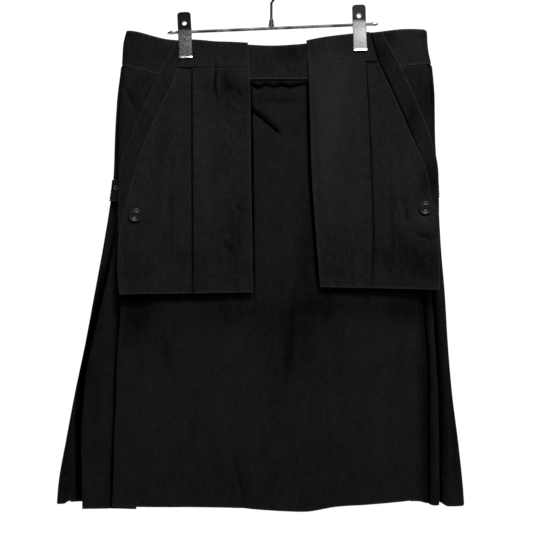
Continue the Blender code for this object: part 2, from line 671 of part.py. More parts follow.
def side_path(section, side):
    """From under the apron's edge out to the first pleat, back under, and round the side."""
    edges = row_at(EDGE_COLUMNS, EDGES, section.level)
    pitch, tuck = section.size.pitch, section.size.tuck
    apron_x, pleat_x, hems = {
        -1: (edges.apron_left, edges.pleat_left, (LEFT_PLEAT_HEM, LEFT_SIDE_HEM)),
        1: (edges.apron_right, edges.pleat_right, (RIGHT_PLEAT_HEM, RIGHT_SIDE_HEM))}[side]
    apron = abs(section.length_to(apron_x))
    pleat = abs(section.length_to(pleat_x))
    seam = section.runs[side].side_length - GAP * SEAM_SHARES[0]
    clear = pitch / 2 + BODY_WALL           # past the apron's folded edge
    spare = min(max((pleat - apron - clear) / PLEAT_RISE, 0.0), 1.0)
    lift = (DEEP_FOLD - FOLD_RISE * spare) * pitch
    start, inner = apron - tuck + UNDER_APRON, pleat - tuck

    def layer(s):
        """Depth of the pleat's outer layer: level under the apron, then rising to its fold."""
        rise = min(max((s - apron - clear) / max(pleat - apron - clear, 1.0), 0.0), 1.0)
        return 2 * pitch + (lift - 2 * pitch) * rise

    grid = [inner + (pleat - inner) * share for share in LAYER_PLACES]
    path = [(start, layer(start)), (inner, layer(inner))] if start < inner else [
        (start, layer(start)), ((start + grid[0]) / 2, layer((start + grid[0]) / 2))]
    path += [(s, layer(s)) for s in grid]
    path += fold(pleat, lift, pitch, 1)
    path += [(s, layer(s) + pitch) for s in reversed(grid)]
    path += turn_back(inner, layer(inner) + pitch, pitch, 1)
    path += [(s, layer(s) + 2 * pitch) for s in grid]
    path += [(pleat, lift + 2 * pitch)]
    outer = [(s, depth, hems[0]) for s, depth in path[:-4]]
    outer += [(s, depth, hems[1]) for s, depth in path[-4:]]
    free = pleat + clear                    # beyond the fold, where the layer may come out
    for step in range(SIDE_STEPS + 1):
        share = step / SIDE_STEPS
        depth = (lift + 2 * pitch) * (0.5 + 0.5 * math.cos(math.pi * share))
        outer.append((free + (seam - free) * share, depth, hems[1]))
    outer.insert(-1, (seam - min(BODY_WALL, (seam - free) / (2 * SIDE_STEPS)), 0.0, hems[1]))
    return [(side * s, depth, hem) for s, depth, hem in outer]


def back_path(section, side):
    """Knife pleats from the side seam to the centre back, their folds towards the centre."""
    pitch, tuck = section.size.pitch, section.size.tuck
    run = section.runs[side]
    seam, end = run.side_length + GAP * SEAM_SHARES[1], run.length - GAP
    last_fold = end - pitch / 2 - BODY_WALL - GAP
    width = (last_fold - seam) / BACK_PLEATS
    full_tuck, first_tuck = min(tuck, width * FULL_TUCK_SHARE), min(tuck, width * FIRST_TUCK_SHARE)
    plain = width - first_tuck
    path = [(seam, 0.0), (seam + BODY_WALL, 0.0)]
    path += [(seam + plain * share, 0.0) for share in TURNED_PLACES]
    path += [(seam + width - first_tuck * share, 0.0) for share in reversed(SHARED_PLACES)]
    for pleat in range(BACK_PLEATS):
        tuck = full_tuck if pleat else first_tuck
        edge = seam + width * (pleat + 1)
        slope = 2 * pitch / width if pleat else 0.0
        between = [tuck * share for share in SHARED_PLACES] if pleat == 0 else []
        path += square_fold(edge, 0.0, pitch, 1)
        path += [(edge - length, pitch) for length in between]
        path += turn_back(edge - tuck, pitch + slope * tuck, pitch, 1)
        path += [(edge - length, 2 * pitch) for length in reversed(between)]
        if pleat < BACK_PLEATS - 1:
            path += [(edge, 2 * pitch), (edge + width * AFTER_FOLD[0], pitch * AFTER_FOLD[1])]
        else:
            path += [(end, 2 * pitch)]
    return [(side * s, depth, BACK_HEM) for s, depth in path]


def make_skirt(parts, finish):
    """Apron, side pleats and pleated back."""
    skirt_piece("apron_front", apron_path, parts, finish)
    for word, side in (("left", -1), ("right", 1)):
        skirt_piece(f"side_pleats_{word}", lambda section: side_path(section, side), parts, finish)
        skirt_piece(f"back_{word}", lambda section: back_path(section, side), parts, finish)


# ---------------------------------------------------------------- pocket panels
def panel_stand(panel, x, drop):
    """How far a panel's outer face stands off the skirt: it hangs away towards its outer corner."""
    inner, outer = along(panel.inner, drop), along(panel.outer, drop)
    outward = min(max((x - inner) / (outer - inner), 0.0), 1.0)
    down = max(drop - panel.band_end, 0.0) / (HEM_DROP / 2 - panel.band_end)
    return FLAP_START + down * (FLAP_HANG + FLAP_HANG_OUT * outward)


def panel_outer(panel, drop):
    """X of the panel's outer edge: the pocket's mouth, and below it the full width."""
    return along(panel.mouth if drop < MOUTH_END else panel.outer, drop)


def make_panel(word, panel, parts, finish):
    """The hanging pocket panel with its knife pleat, from under the top band to its hem."""
    out = panel.out
    bottom = panel.hem[1][1]
    rows = []
    for drop in (panel.band_end + GAP, *PANEL_DROPS, bottom):
        inner, outer, edge = (along(panel.inner, drop), panel_outer(panel, drop),
                              along(panel.pleat, drop))
        path = [(inner + (edge - inner) * share, 0.0) for share in PANEL_INNER_PLACES]
        path += fold(edge, 0.0, FLAP_PITCH, out)
        path += turn_back(edge - out * FLAP_TUCK, FLAP_PITCH, FLAP_PITCH, out)
        path += [(edge, 2 * FLAP_PITCH)]
        path += [(edge + (outer - edge) * share, FLAP_PITCH * (2 - FLAP_RETURN * share))
                 for share in PANEL_OUTER_PLACES]
        row = []
        for x, depth in path:
            real = drop + (along(panel.hem, x) - bottom if drop == bottom else 0.0)
            y = front_face(x, real) - panel_stand(panel, x, real) + depth + FLAP_WALL / 2
            row.append(to_world(x, y, real))
        rows.append(row)
    cloth(f"pocket_panel_{word}", rows, FLAP_WALL, finish, parts)


def make_panel_band(word, panel, parts, finish):
    """The panel's top band, which hangs from the waistband's edge."""
    rows = []
    for share in PANEL_BAND_SHARES:
        row = []
        for step in range(PANEL_BAND_STEPS + 1):
            drop = panel.band_end * share
            for _ in range(SLANT_ROUNDS):
                inner, mouth = along(panel.inner, drop), along(panel.mouth, drop)
                x = inner + (mouth - inner) * step / PANEL_BAND_STEPS
                top = along(panel.top, x)
                drop = top + (panel.band_end - GAP - top) * share
            stand = GAP + BODY_WALL + (FLAP_START - GAP - BODY_WALL) * max(0.0, share * 3 - 2)
            row.append(to_world(x, front_face(x, drop) - stand + BODY_WALL / 2, drop))
        rows.append(row)
    cloth(f"panel_band_{word}", rows, BODY_WALL, finish, parts)


def make_strip(word, panel, parts, finish):
    """The slanted strip behind the pocket's mouth: level with the top band, then under the panel."""
    out = panel.out
    top = along(panel.top, along(panel.mouth, STRIP_TOP_AT)) + STRIP_TOP_GAP
    rows = []
    for drop in sorted((top, panel.band_end, *STRIP_DROPS)):
        mouth, edge = along(panel.mouth, drop), along(panel.strip, drop)
        under = min(max((drop - panel.band_end) / UNDERLAP_EASE, 0.0), 1.0)
        start = mouth - out * (STRIP_UNDERLAP * under - 2 * GAP * (1.0 - under))
        lowered = max(drop - STRIP_LOW, 0.0) / (STRIP_END - STRIP_LOW)
        row = []
        for step in range(STRIP_STEPS + 1):
            share = step / STRIP_STEPS
            x = start + (edge - start) * share
            stand = STRIP_STAND + lowered * STRIP_LIFT * (1.0 - share)
            y = front_face(x, drop) - stand + BODY_WALL / 2
            row.append(to_world(x, y, drop))
        rows.append(row)
    cloth(f"pocket_strip_{word}", rows, BODY_WALL, finish, parts)


def make_tab(word, panel, parts, finish, steel):
    """A short loop at the side with a small metal eyelet."""
    rows = []
    for share in (0.0, 0.5, 1.0):
        drop = panel.tab_top + TAB_HEIGHT * share
        section = Section(level_of(drop, panel.tab_start))
        start = section.length_to(panel.tab_start)
        end = panel.out * (section.runs[panel.out].side_length - TAB_SHORT)
        row = []
        for step in range(TAB_STEPS + 1):
            s = start + (end - start) * step / TAB_STEPS
            plan = section.place(s, -2 * GAP - TAB_WALL / 2)
            row.append(to_world(plan.x, plan.y, drop))
        rows.append(row)
    cloth(f"side_tab_{word}", rows, TAB_WALL, finish, parts)
    ring_x, ring_drop = panel.ring
    section = Section(level_of(ring_drop, ring_x))
    s = section.length_to(ring_x)
    lift = -GAP * 3 - TAB_WALL - RING_WIRE
    plan = section.place(s, lift)
    outward = (section.place(s, lift - 1.0) - plan).normalized()
    bpy.ops.mesh.primitive_torus_add(major_radius=RING_RADIUS * MM, minor_radius=RING_WIRE * MM,
                                     major_segments=RING_STEPS, minor_segments=RING_SIDES)
    ring = bpy.context.object
    ring.name = f"tab_eyelet_{word}"
    ring.data.name = ring.name
    for old in list(ring.users_collection):
        old.objects.unlink(ring)
    parts.objects.link(ring)
    ring.data.materials.append(steel)
    ring.data.shade_smooth()
    ring.location = to_world(plan.x, plan.y, ring_drop)
    ring.rotation_mode = "QUATERNION"
    ring.rotation_quaternion = Vector((outward.x, outward.y, 0.0)).to_track_quat("Z", "Y")


def make_button(word, panel, parts, cutters, finish):
    """A four-hole button on the panel's outer corner."""
    x, drop = panel.button
    outer, edge = panel_outer(panel, drop), along(panel.pleat, drop)
    share = (x - edge) / (outer - edge)
    depth = FLAP_PITCH * (2 - FLAP_RETURN * share)
    face = front_face(x, drop) - panel_stand(panel, x, drop) + depth
    made = turned(f"button_{word}", BUTTON_PROFILE, finish, parts)
    place = to_world(x, face - GAP, drop)
    slope = ((front_face(x + BUTTON_REACH, drop) - front_face(x - BUTTON_REACH, drop))
             / (2 * BUTTON_REACH))
    turn = (math.pi / 2, panel.button_turn, math.atan(slope))
    made.location = place
    made.rotation_euler = turn
    shape = bmesh.new()
    for corner in range(4):
        angle = math.pi / 4 + corner * math.pi / 2
        spot = Vector((math.cos(angle), math.sin(angle), 0.0)) * BUTTON_HOLE_SPREAD * MM
        bmesh.ops.create_cone(shape, cap_ends=True, segments=BUTTON_HOLE_SIDES,
                              radius1=BUTTON_HOLE_RADIUS * MM, radius2=BUTTON_HOLE_RADIUS * MM,
                              depth=BUTTON_HOLE_LONG * MM,
                              matrix=Matrix.Translation(spot))
    mesh = bpy.data.meshes.new("button_holes")
    shape.to_mesh(mesh)
    shape.free()
    cut(made, add_cutter(f"button_holes_{word}", mesh, cutters, place, turn))


def main():
    fresh_scene()
    parts = new_collection(COLLECTION)
    cutters = new_collection("cutters")
    chrome = material("chromed_steel", 0.6, 0.18, 1.0)
    steel = material("spring_steel", 0.35, 0.35, 1.0)
    twill = material("black_twill", 0.010, 0.85)
    resin = material("black_button_resin", 0.012, 0.25)
    make_hook(parts, chrome)
    make_ferrule(parts, cutters, chrome)
    make_rod(parts, chrome)
    for side in CLIP_AT:
        make_clip(side, parts, cutters, chrome, steel)
    make_waistband(parts, twill)
    make_skirt(parts, twill)
    for word, panel in PANELS.items():
        make_panel_band(word, panel, parts, twill)
        make_panel(word, panel, parts, twill)
        make_strip(word, panel, parts, twill)
        make_tab(word, panel, parts, twill, steel)
        make_button(word, panel, parts, cutters, resin)


main()
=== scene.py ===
# %% [markdown]
# # A black pleated kilt on a metal clip hanger
# The real thing is sewn from one cloth, a matte black cotton twill with a fine upright rib, and it
# hangs from two sprung clips. Nearly all of what the eye gets is how the layers lie: which one is on
# top, where an edge is folded and stitched, and where the cloth pulls. So each piece of cloth is
# laid again here on the form of its imported solid, in fine rows of quads, with its creases placed
# one by one. The metal and the buttons are made anew as well, because they are small and shiny, and a
# facet would show. All lengths below are millimetres until a mesh is made.

import math
from bisect import bisect_right
from functools import lru_cache
from types import SimpleNamespace

import bmesh
import bpy
import numpy as np
from mathutils import Matrix, Vector
from mathutils.bvhtree import BVHTree


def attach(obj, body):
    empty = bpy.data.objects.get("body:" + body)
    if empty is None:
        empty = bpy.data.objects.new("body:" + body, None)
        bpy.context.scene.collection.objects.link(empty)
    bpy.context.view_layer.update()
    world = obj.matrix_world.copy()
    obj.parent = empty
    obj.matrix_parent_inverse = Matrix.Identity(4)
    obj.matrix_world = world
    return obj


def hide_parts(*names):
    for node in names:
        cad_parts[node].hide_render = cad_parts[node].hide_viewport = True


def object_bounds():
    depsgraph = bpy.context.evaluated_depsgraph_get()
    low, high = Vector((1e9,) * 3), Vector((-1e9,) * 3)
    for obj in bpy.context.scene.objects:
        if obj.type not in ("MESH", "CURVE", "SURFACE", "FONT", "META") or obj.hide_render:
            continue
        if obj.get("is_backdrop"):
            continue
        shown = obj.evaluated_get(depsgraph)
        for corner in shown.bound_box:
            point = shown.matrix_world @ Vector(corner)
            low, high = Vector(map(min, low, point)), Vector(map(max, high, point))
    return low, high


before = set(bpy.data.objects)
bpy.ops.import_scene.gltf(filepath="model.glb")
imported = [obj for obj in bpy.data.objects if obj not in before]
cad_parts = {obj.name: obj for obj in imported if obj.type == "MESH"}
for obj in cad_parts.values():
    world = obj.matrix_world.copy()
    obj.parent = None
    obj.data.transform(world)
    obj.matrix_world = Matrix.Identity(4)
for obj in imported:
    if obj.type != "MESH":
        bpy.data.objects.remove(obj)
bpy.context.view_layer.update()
MM = 0.001
BODY = "root"

# %% [markdown]
# ## Lines through small tables
# A pattern maker draws an edge from a few measured points and lets a flexible ruler find the curve.
# `Line` does the same: a cubic through the rows of a table that never overshoots them, so a straight
# stretch stays straight and no row shows up as a kink in the cloth.


# %% A smooth line through a table
class Line:
    """Reads a two-column table smoothly."""

    def __init__(self, rows):
        self.keys = [float(row[0]) for row in rows]
        self.values = [float(row[1]) for row in rows]
        rises = [(after - before) / (end - start) for start, end, before, after in
                 zip(self.keys, self.keys[1:], self.values, self.values[1:])]
        self.slopes = [rises[0]]
        for before, after in zip(rises, rises[1:]):
            self.slopes.append(0.0 if before * after <= 0 else
                               2 * before * after / (before + after))
        self.slopes.append(rises[-1])

    def __call__(self, at):
        at = min(max(at, self.keys[0]), self.keys[-1])
        index = min(max(bisect_right(self.keys, at), 1), len(self.keys) - 1)
        low, span = self.keys[index - 1], self.keys[index] - self.keys[index - 1]
        t = (at - low) / span
        return (self.values[index - 1] * (1 + 2 * t) * (1 - t) ** 2
                + self.slopes[index - 1] * span * t * (1 - t) ** 2
                + self.values[index] * t * t * (3 - 2 * t)
                + self.slopes[index] * span * t * t * (t - 1))


def lines(columns, rows):
    """One smooth line for each named column of a table, against its first column."""
    return {name: Line([(row[0], row[place]) for row in rows])
            for place, name in enumerate(columns) if place}


def smoothstep(low, high, value):
    """0 below low, 1 above high and an even change of pace in between; works on arrays too."""
    share = np.clip((value - low) / (high - low), 0.0, 1.0)
    return share * share * (3 - 2 * share)


# %% [markdown]
# ## The form that the cloth hangs on
# The kilt is a flattened tube: narrow and almost flat between the clips, wider and deeper at the
# hem. One table gives its size at each height. A "drop" is the distance down from the hanger's rod,
# as one would measure on the hanging garment. A place on the tube is a length `s` round from the
# centre front and a depth `n` into the cloth, which is how folded layers are easiest to describe.

# %% The tube's measures
ORIGIN_DROP = -86.2            # the row's origin, inside the hook, above the rod's centre
BAND_WALL = 2.8
BODY_WALL = 1.0
SEAM_DROP, HEM_DROP = 72.0, 672.0
SEAM_FADE, HEM_FADE = 150.0, 110.0
BAND_TOP = 3.0
END_SHARE, BULGE = 1.6, 0.10
CLIP_AT = {"left": -122.0, "right": 124.0}
PINCH_REACH = 78.0
RIPPLE_WAVE, RIPPLE_PHASE = 168.0, 0.6
TUBE = lines(("drop", "left", "right", "half_depth", "pinch", "pitch", "tuck", "ripple"), (
    (3.0, -206.5, 221.0, 7.0, 0.53, 1.7, 12.0, 0.0),
    (24.0, -210.0, 221.5, 7.4, 0.55, 1.7, 12.0, 0.0),
    (45.0, -211.0, 223.0, 8.4, 0.58, 1.7, 12.0, 0.0),
    (60.0, -211.5, 225.0, 9.4, 0.42, 1.7, 12.0, 0.0),
    (72.0, -212.0, 226.5, 10.5, 0.28, 1.7, 12.0, 0.0),
    (115.0, -217.5, 230.5, 12.8, 0.10, 1.7, 18.0, 0.0),
    (157.0, -220.5, 231.0, 14.8, 0.0, 1.8, 24.0, 0.0),
    (208.0, -222.5, 234.0, 17.2, 0.0, 2.0, 28.0, 0.01),
    (258.0, -229.0, 236.5, 19.8, 0.0, 2.3, 30.0, 0.02),
    (308.0, -237.3, 239.3, 22.4, 0.0, 2.7, 32.0, 0.03),
    (377.0, -250.0, 245.0, 26.2, 0.0, 3.4, 33.0, 0.04),
    (445.0, -262.7, 249.1, 30.0, 0.0, 4.2, 34.0, 0.05),
    (512.0, -276.8, 254.8, 33.5, 0.0, 4.9, 34.0, 0.06),
    (580.0, -289.5, 263.2, 36.5, 0.0, 5.5, 35.0, 0.06),
    (648.0, -300.8, 270.3, 39.0, 0.0, 6.0, 35.0, 0.06),
    (672.0, -302.5, 272.0, 40.0, 0.0, 6.0, 35.0, 0.06),
))
EDGES = lines(("drop", "apron_left", "pleat_left", "apron_right", "pleat_right"), (
    (72.0, -207.5, -210.5, 220.0, 223.5),
    (115.0, -212.5, -215.5, 223.5, 227.0),
    (157.0, -215.0, -218.0, 224.0, 228.0),
    (208.0, -215.5, -219.0, 221.5, 227.0),
    (308.0, -212.5, -218.5, 212.5, 225.0),
    (342.0, -211.8, -228.0, 211.0, 224.6),
    (377.0, -211.4, -236.6, 211.2, 225.0),
    (411.0, -211.8, -244.6, 213.9, 228.4),
    (445.0, -214.6, -253.0, 216.3, 230.2),
    (484.0, -216.6, -260.6, 218.4, 232.8),
    (524.0, -216.8, -264.6, 218.5, 234.6),
    (566.0, -219.2, -267.6, 217.8, 235.1),
    (608.0, -219.8, -266.5, 217.6, 235.3),
    (651.0, -221.2, -265.1, 218.0, 235.6),
    (672.0, -221.8, -265.0, 218.1, 235.4),
))

# %% Its upper edge, waist seam and hems, as X against drop
WAIST_TOP = Line((
    (-207, 8.0), (-202, 3.5), (-190, 4.9), (-168, 10.6), (-146, 15.6), (-112, 18.2), (-78, 20.6),
    (-33, 23.3), (0, 24.7), (46, 22.0), (80, 16.5), (102, 11.8), (148, 5.4), (193, 1.2), (215, 2.0),
    (222, 7.0)))
WAIST_SEAM = Line((
    (-213, 50.9), (-157, 64.2), (-90, 70.5), (-30, 71.9), (50, 71.9), (110, 66.0), (183, 53.2),
    (227, 49.8)))
APRON_HEM = Line((
    (-226, 670.0), (-180, 670.6), (-44, 671.9), (-10, 674.7), (46, 677.5), (91, 670.5),
    (131, 667.6), (181, 663.4), (199, 661.6), (213, 664.9), (223, 667.5)))
LEFT_PLEAT_HEM = Line(((-280, 674.2), (-190, 674.2)))
LEFT_SIDE_HEM = Line(((-303, 670.0), (-292, 669.0), (-281, 663.6), (-240, 663.4)))
RIGHT_PLEAT_HEM = Line(((195, 659.5), (212, 661.5), (224, 669.4), (230, 670.0), (240, 665.0)))
RIGHT_SIDE_HEM = Line(((235, 665.0), (249, 672.5), (268, 672.6), (273, 669.8)))
BACK_HEM = Line(((-303, 668.5), (273, 668.5)))


# %% From a level of the table to a real height
def body_drop(level, x, hem):
    """The real drop of a point of the skirt, whose levels bend to the waist seam and the hem."""
    near_seam = max(0.0, 1.0 - (level - SEAM_DROP) / SEAM_FADE)
    near_hem = max(0.0, 1.0 - (HEM_DROP - level) / HEM_FADE)
    return level + near_seam * (WAIST_SEAM(x) - SEAM_DROP) + near_hem * (hem - HEM_DROP)


def band_drop(level, x):
    """The real drop of a point of the waistband."""
    share = (level - BAND_TOP) / (SEAM_DROP - BAND_TOP)
    return WAIST_TOP(x) + (WAIST_SEAM(x) - WAIST_TOP(x)) * share


def level_of(drop, x):
    """The level whose real drop this is."""
    top, seam = WAIST_TOP(x), WAIST_SEAM(x)
    if drop < seam:
        return BAND_TOP + max(drop - top, 0.0) / (seam - top) * (SEAM_DROP - BAND_TOP)
    near_seam = (seam - SEAM_DROP) / SEAM_FADE
    level = (drop - near_seam * (SEAM_FADE + SEAM_DROP)) / (1.0 - near_seam)
    return level if level < SEAM_DROP + SEAM_FADE else drop


def to_world(x, y, drop):
    """Millimetres and a drop to the row's metres."""
    return Vector((x * MM, y * MM, (ORIGIN_DROP - drop) * MM))


def clip_dent(x):
    """1 where a clip bites, fading smoothly to 0."""
    return sum(0.5 + 0.5 * math.cos(math.pi * min(abs(x - place) / PINCH_REACH, 1.0))
               for place in CLIP_AT.values())


# %% The tube seen from above, at one level
class Section:
    """One level of the tube: two runs of points, from the centre front to the centre back."""

    FLAT_STEPS, ROUND_STEPS = 40, 24

    def __init__(self, level):
        self.size = SimpleNamespace(**{name: line(level) for name, line in TUBE.items()})
        self.centre = (self.size.left + self.size.right) / 2
        self.half_width = (self.size.right - self.size.left) / 2
        self.end_width = END_SHARE * self.size.half_depth
        self.runs = {side: self.half_run(side) for side in (-1, 1)}

    def shaped(self, x, y):
        """A point of the plain oval after the clips' dents and the soft ripple."""
        wave = math.cos(2 * math.pi * x / RIPPLE_WAVE + RIPPLE_PHASE)
        return Vector((x, y * (1 - self.size.pinch * clip_dent(x)) * (1 + self.size.ripple * wave)))

    def half_run(self, side):
        """Points, lengths and inward normals round one side."""
        depth, flat = self.size.half_depth, self.half_width - self.end_width
        front = [(flat * step / self.FLAT_STEPS, -depth) for step in range(self.FLAT_STEPS)]
        for step in range(self.ROUND_STEPS):
            angle = math.pi / 2 * step / self.ROUND_STEPS
            front.append((flat + self.end_width * math.sin(angle), -depth * math.cos(angle)))
        outline = front + [(self.half_width, 0.0)] + [(x, -y) for x, y in reversed(front)]
        points = [self.shaped(self.centre + side * x, y * (1 - BULGE * (x / self.half_width) ** 2))
                  for x, y in outline]
        lengths = [0.0]
        for start, end in zip(points, points[1:]):
            lengths.append(lengths[-1] + (end - start).length)
        normals = []
        for index in range(len(points)):
            ahead = points[min(index + 1, len(points) - 1)] - points[max(index - 1, 0)]
            normals.append((Vector((-ahead.y, ahead.x)) * side).normalized())
        normals[0], normals[-1] = Vector((0.0, 1.0)), Vector((0.0, -1.0))
        return SimpleNamespace(points=points, lengths=lengths, normals=normals,
                               side_length=lengths[len(front)], length=lengths[-1])

    def place(self, s, n):
        """The plan position at length s and depth n."""
        run = self.runs[-1 if s < 0 else 1]
        reach = min(abs(s), run.length)
        index = min(max(bisect_right(run.lengths, reach), 1), len(run.lengths) - 1)
        low, high = run.lengths[index - 1], run.lengths[index]
        share = (reach - low) / (high - low)
        point = run.points[index - 1].lerp(run.points[index], share)
        return point + run.normals[index - 1].lerp(run.normals[index], share).normalized() * n

    def length_to(self, x):
        """The length round the front to the place at X."""
        side = -1 if x < self.centre else 1
        run = self.runs[side]
        for index in range(1, len(run.points)):
            before, after = run.points[index - 1].x, run.points[index].x
            if (after - x) * side >= 0:
                share = (x - before) / (after - before)
                return side * (run.lengths[index - 1]
                               + share * (run.lengths[index] - run.lengths[index - 1]))
        return side * run.side_length


@lru_cache(maxsize=None)
def section_at(level):
    """Sections are used by several pieces, so each is worked out once."""
    return Section(level)


# %% [markdown]
# ## Creases
# A crease in worn or packed cloth is a soft trough or ridge with a start and an end, and no two are
# alike. Each is a short polyline in X and drop with a width and a height in millimetres; a negative
# height is a trough. The height swells in the middle and dies away at both ends. A `lip` is a fold
# with one steep side, which is what throws the darkest thin shadows. Small fixed waves under all of
# them keep the cloth from looking ironed.


# %% Height of the creases at many points at once
def crease_height(x, drop, points, width, height, lip=0.0):
    """The height in mm that one crease adds at each point."""
    best = np.full(x.shape, 1e9)
    signed, share = np.zeros(x.shape), np.zeros(x.shape)
    lengths = [math.dist(a, b) for a, b in zip(points, points[1:])]
    done, total = 0.0, sum(lengths)
    for (x0, d0), (x1, d1), length in zip(points, points[1:], lengths):
        ux, ud = (x1 - x0) / length, (d1 - d0) / length
        along = np.clip((x - x0) * ux + (drop - d0) * ud, 0.0, length)
        gap_x, gap_d = x - x0 - along * ux, drop - d0 - along * ud
        gap = np.hypot(gap_x, gap_d)
        near = gap < best
        best = np.where(near, gap, best)
        signed = np.where(near, np.sign(gap_x * ud - gap_d * ux) * gap, signed)
        share = np.where(near, (done + along) / total, share)
        done += length
    swell = np.sin(np.pi * np.clip(share, 0.0, 1.0)) ** 0.6
    spread_out = np.where(signed > 0, width * (1 + lip), width)
    return height * swell * np.exp(-(best / spread_out) ** 2)


def fine_waves(x, drop, seed, across=26.0, down=150.0, height=0.22):
    """Gentle uprights that any hanging cloth has, from a few sines with a fixed seed."""
    random = np.random.default_rng(seed)
    total = np.zeros(x.shape)
    for _ in range(9):
        wave_x = 2 * math.pi / (across * random.uniform(0.6, 2.2)) * random.choice((-1, 1))
        wave_d = 2 * math.pi / (down * random.uniform(0.6, 2.4))
        total += np.sin(x * wave_x + drop * wave_d + random.uniform(0, 2 * math.pi))
    return total * height / 3


def relief(creases, seed=1, fine=0.22):
    """A function that adds up the fine waves and a table of creases."""
    def height(x, drop):
        total = fine_waves(x, drop, seed, height=fine)
        for crease in creases:
            total += crease_height(x, drop, *crease)
        return total
    return height


# %% [markdown]
# ## Laying a piece of cloth
# A piece is a path, seen from above, repeated at every level: flat stretches, pressed folds and the
# layers under them. Each stretch gets the same number of steps at every level, so the quads run
# straight up and down like the warp. The UV map holds real millimetres on the cloth, which lets the
# weave follow every fold. Three more attributes mark folded and cut edges, where black cloth goes
# greyer with wear; painted shade, black in the hollows of deep creases, beside folds and under hems;
# and broad patches of painted light and shade, with some uneven dye among them.


# %% Paths and their stretches
FOLD_RADIUS = 0.85             # a pressed edge, at the middle of the cloth
FOLD_EASE = 14.0               # the layer below leaves a pressed edge over this length
QUARTERS = (0.0, 0.25, 0.5, 0.75, 1.0)


def stretch_counts(path, spacing, fine_spacing, fine_stretch):
    """Steps in each stretch of a path; one named stretch may be finer than the rest."""
    return [max(1, math.ceil(math.dist(start, end)
                             / (fine_spacing if index == fine_stretch else spacing)))
            for index, (start, end) in enumerate(zip(path, path[1:]))]


def spread(path, counts):
    """The path with each stretch divided into its steps."""
    places = [path[0]]
    for start, end, count in zip(path, path[1:], counts):
        for step in range(1, count + 1):
            share = step / count
            places.append(tuple(a + (b - a) * share for a, b in zip(start, end)))
    return places


def pressed_fold(edge, depth, pitch, side, under, slope=0.0):
    """Round a pressed edge that points to `side`, then back along the layer below."""
    radius = min(FOLD_RADIUS, pitch / 2)
    centre = edge - side * radius
    path = [(centre + side * radius * math.sin(math.pi * part),
             depth + radius * (1 - math.cos(math.pi * part))) for part in QUARTERS]
    ease = min(FOLD_EASE, under * 0.6)
    for part in QUARTERS[1:]:
        lift = 2 * radius + (pitch - 2 * radius) * float(smoothstep(0, 1, part))
        path.append((centre - side * ease * part, depth + lift + slope * ease * part))
    return path


# %% The mesh of one piece
# Besides edge wear and the buttons' painted rim highlight, these attributes carry painted shade in
# hollows and beside folds, and patches of painted light and shade with some uneven dye.
CLOTH_UV, WEAR_AND_RIM_HIGHLIGHT, CREASE_SHADE, FADE_AND_PAINTED_LIGHT = "cloth_mm", "edge_wear_and_painted_rim_highlight", "painted_crease_shade", "fade_and_painted_light"
WEAR_REACH = 1.3               # a worn edge fades over about this many millimetres
FOLD_TURN = 0.45               # the path turns at least this much at a folded edge
SHADE_FROM, SHADE_SPAN = 1.1, 3.4     # a trough this deep starts to get painted shade; painted black this much deeper
made_pieces = []


def grid_lengths(grid, axis):
    """Running length along the rows or the columns of a grid of points."""
    steps = np.linalg.norm(np.diff(grid, axis=axis), axis=2)
    start = np.zeros_like(np.take(steps, [0], axis=axis))
    return np.concatenate([start, np.cumsum(steps, axis=axis)], axis=axis)


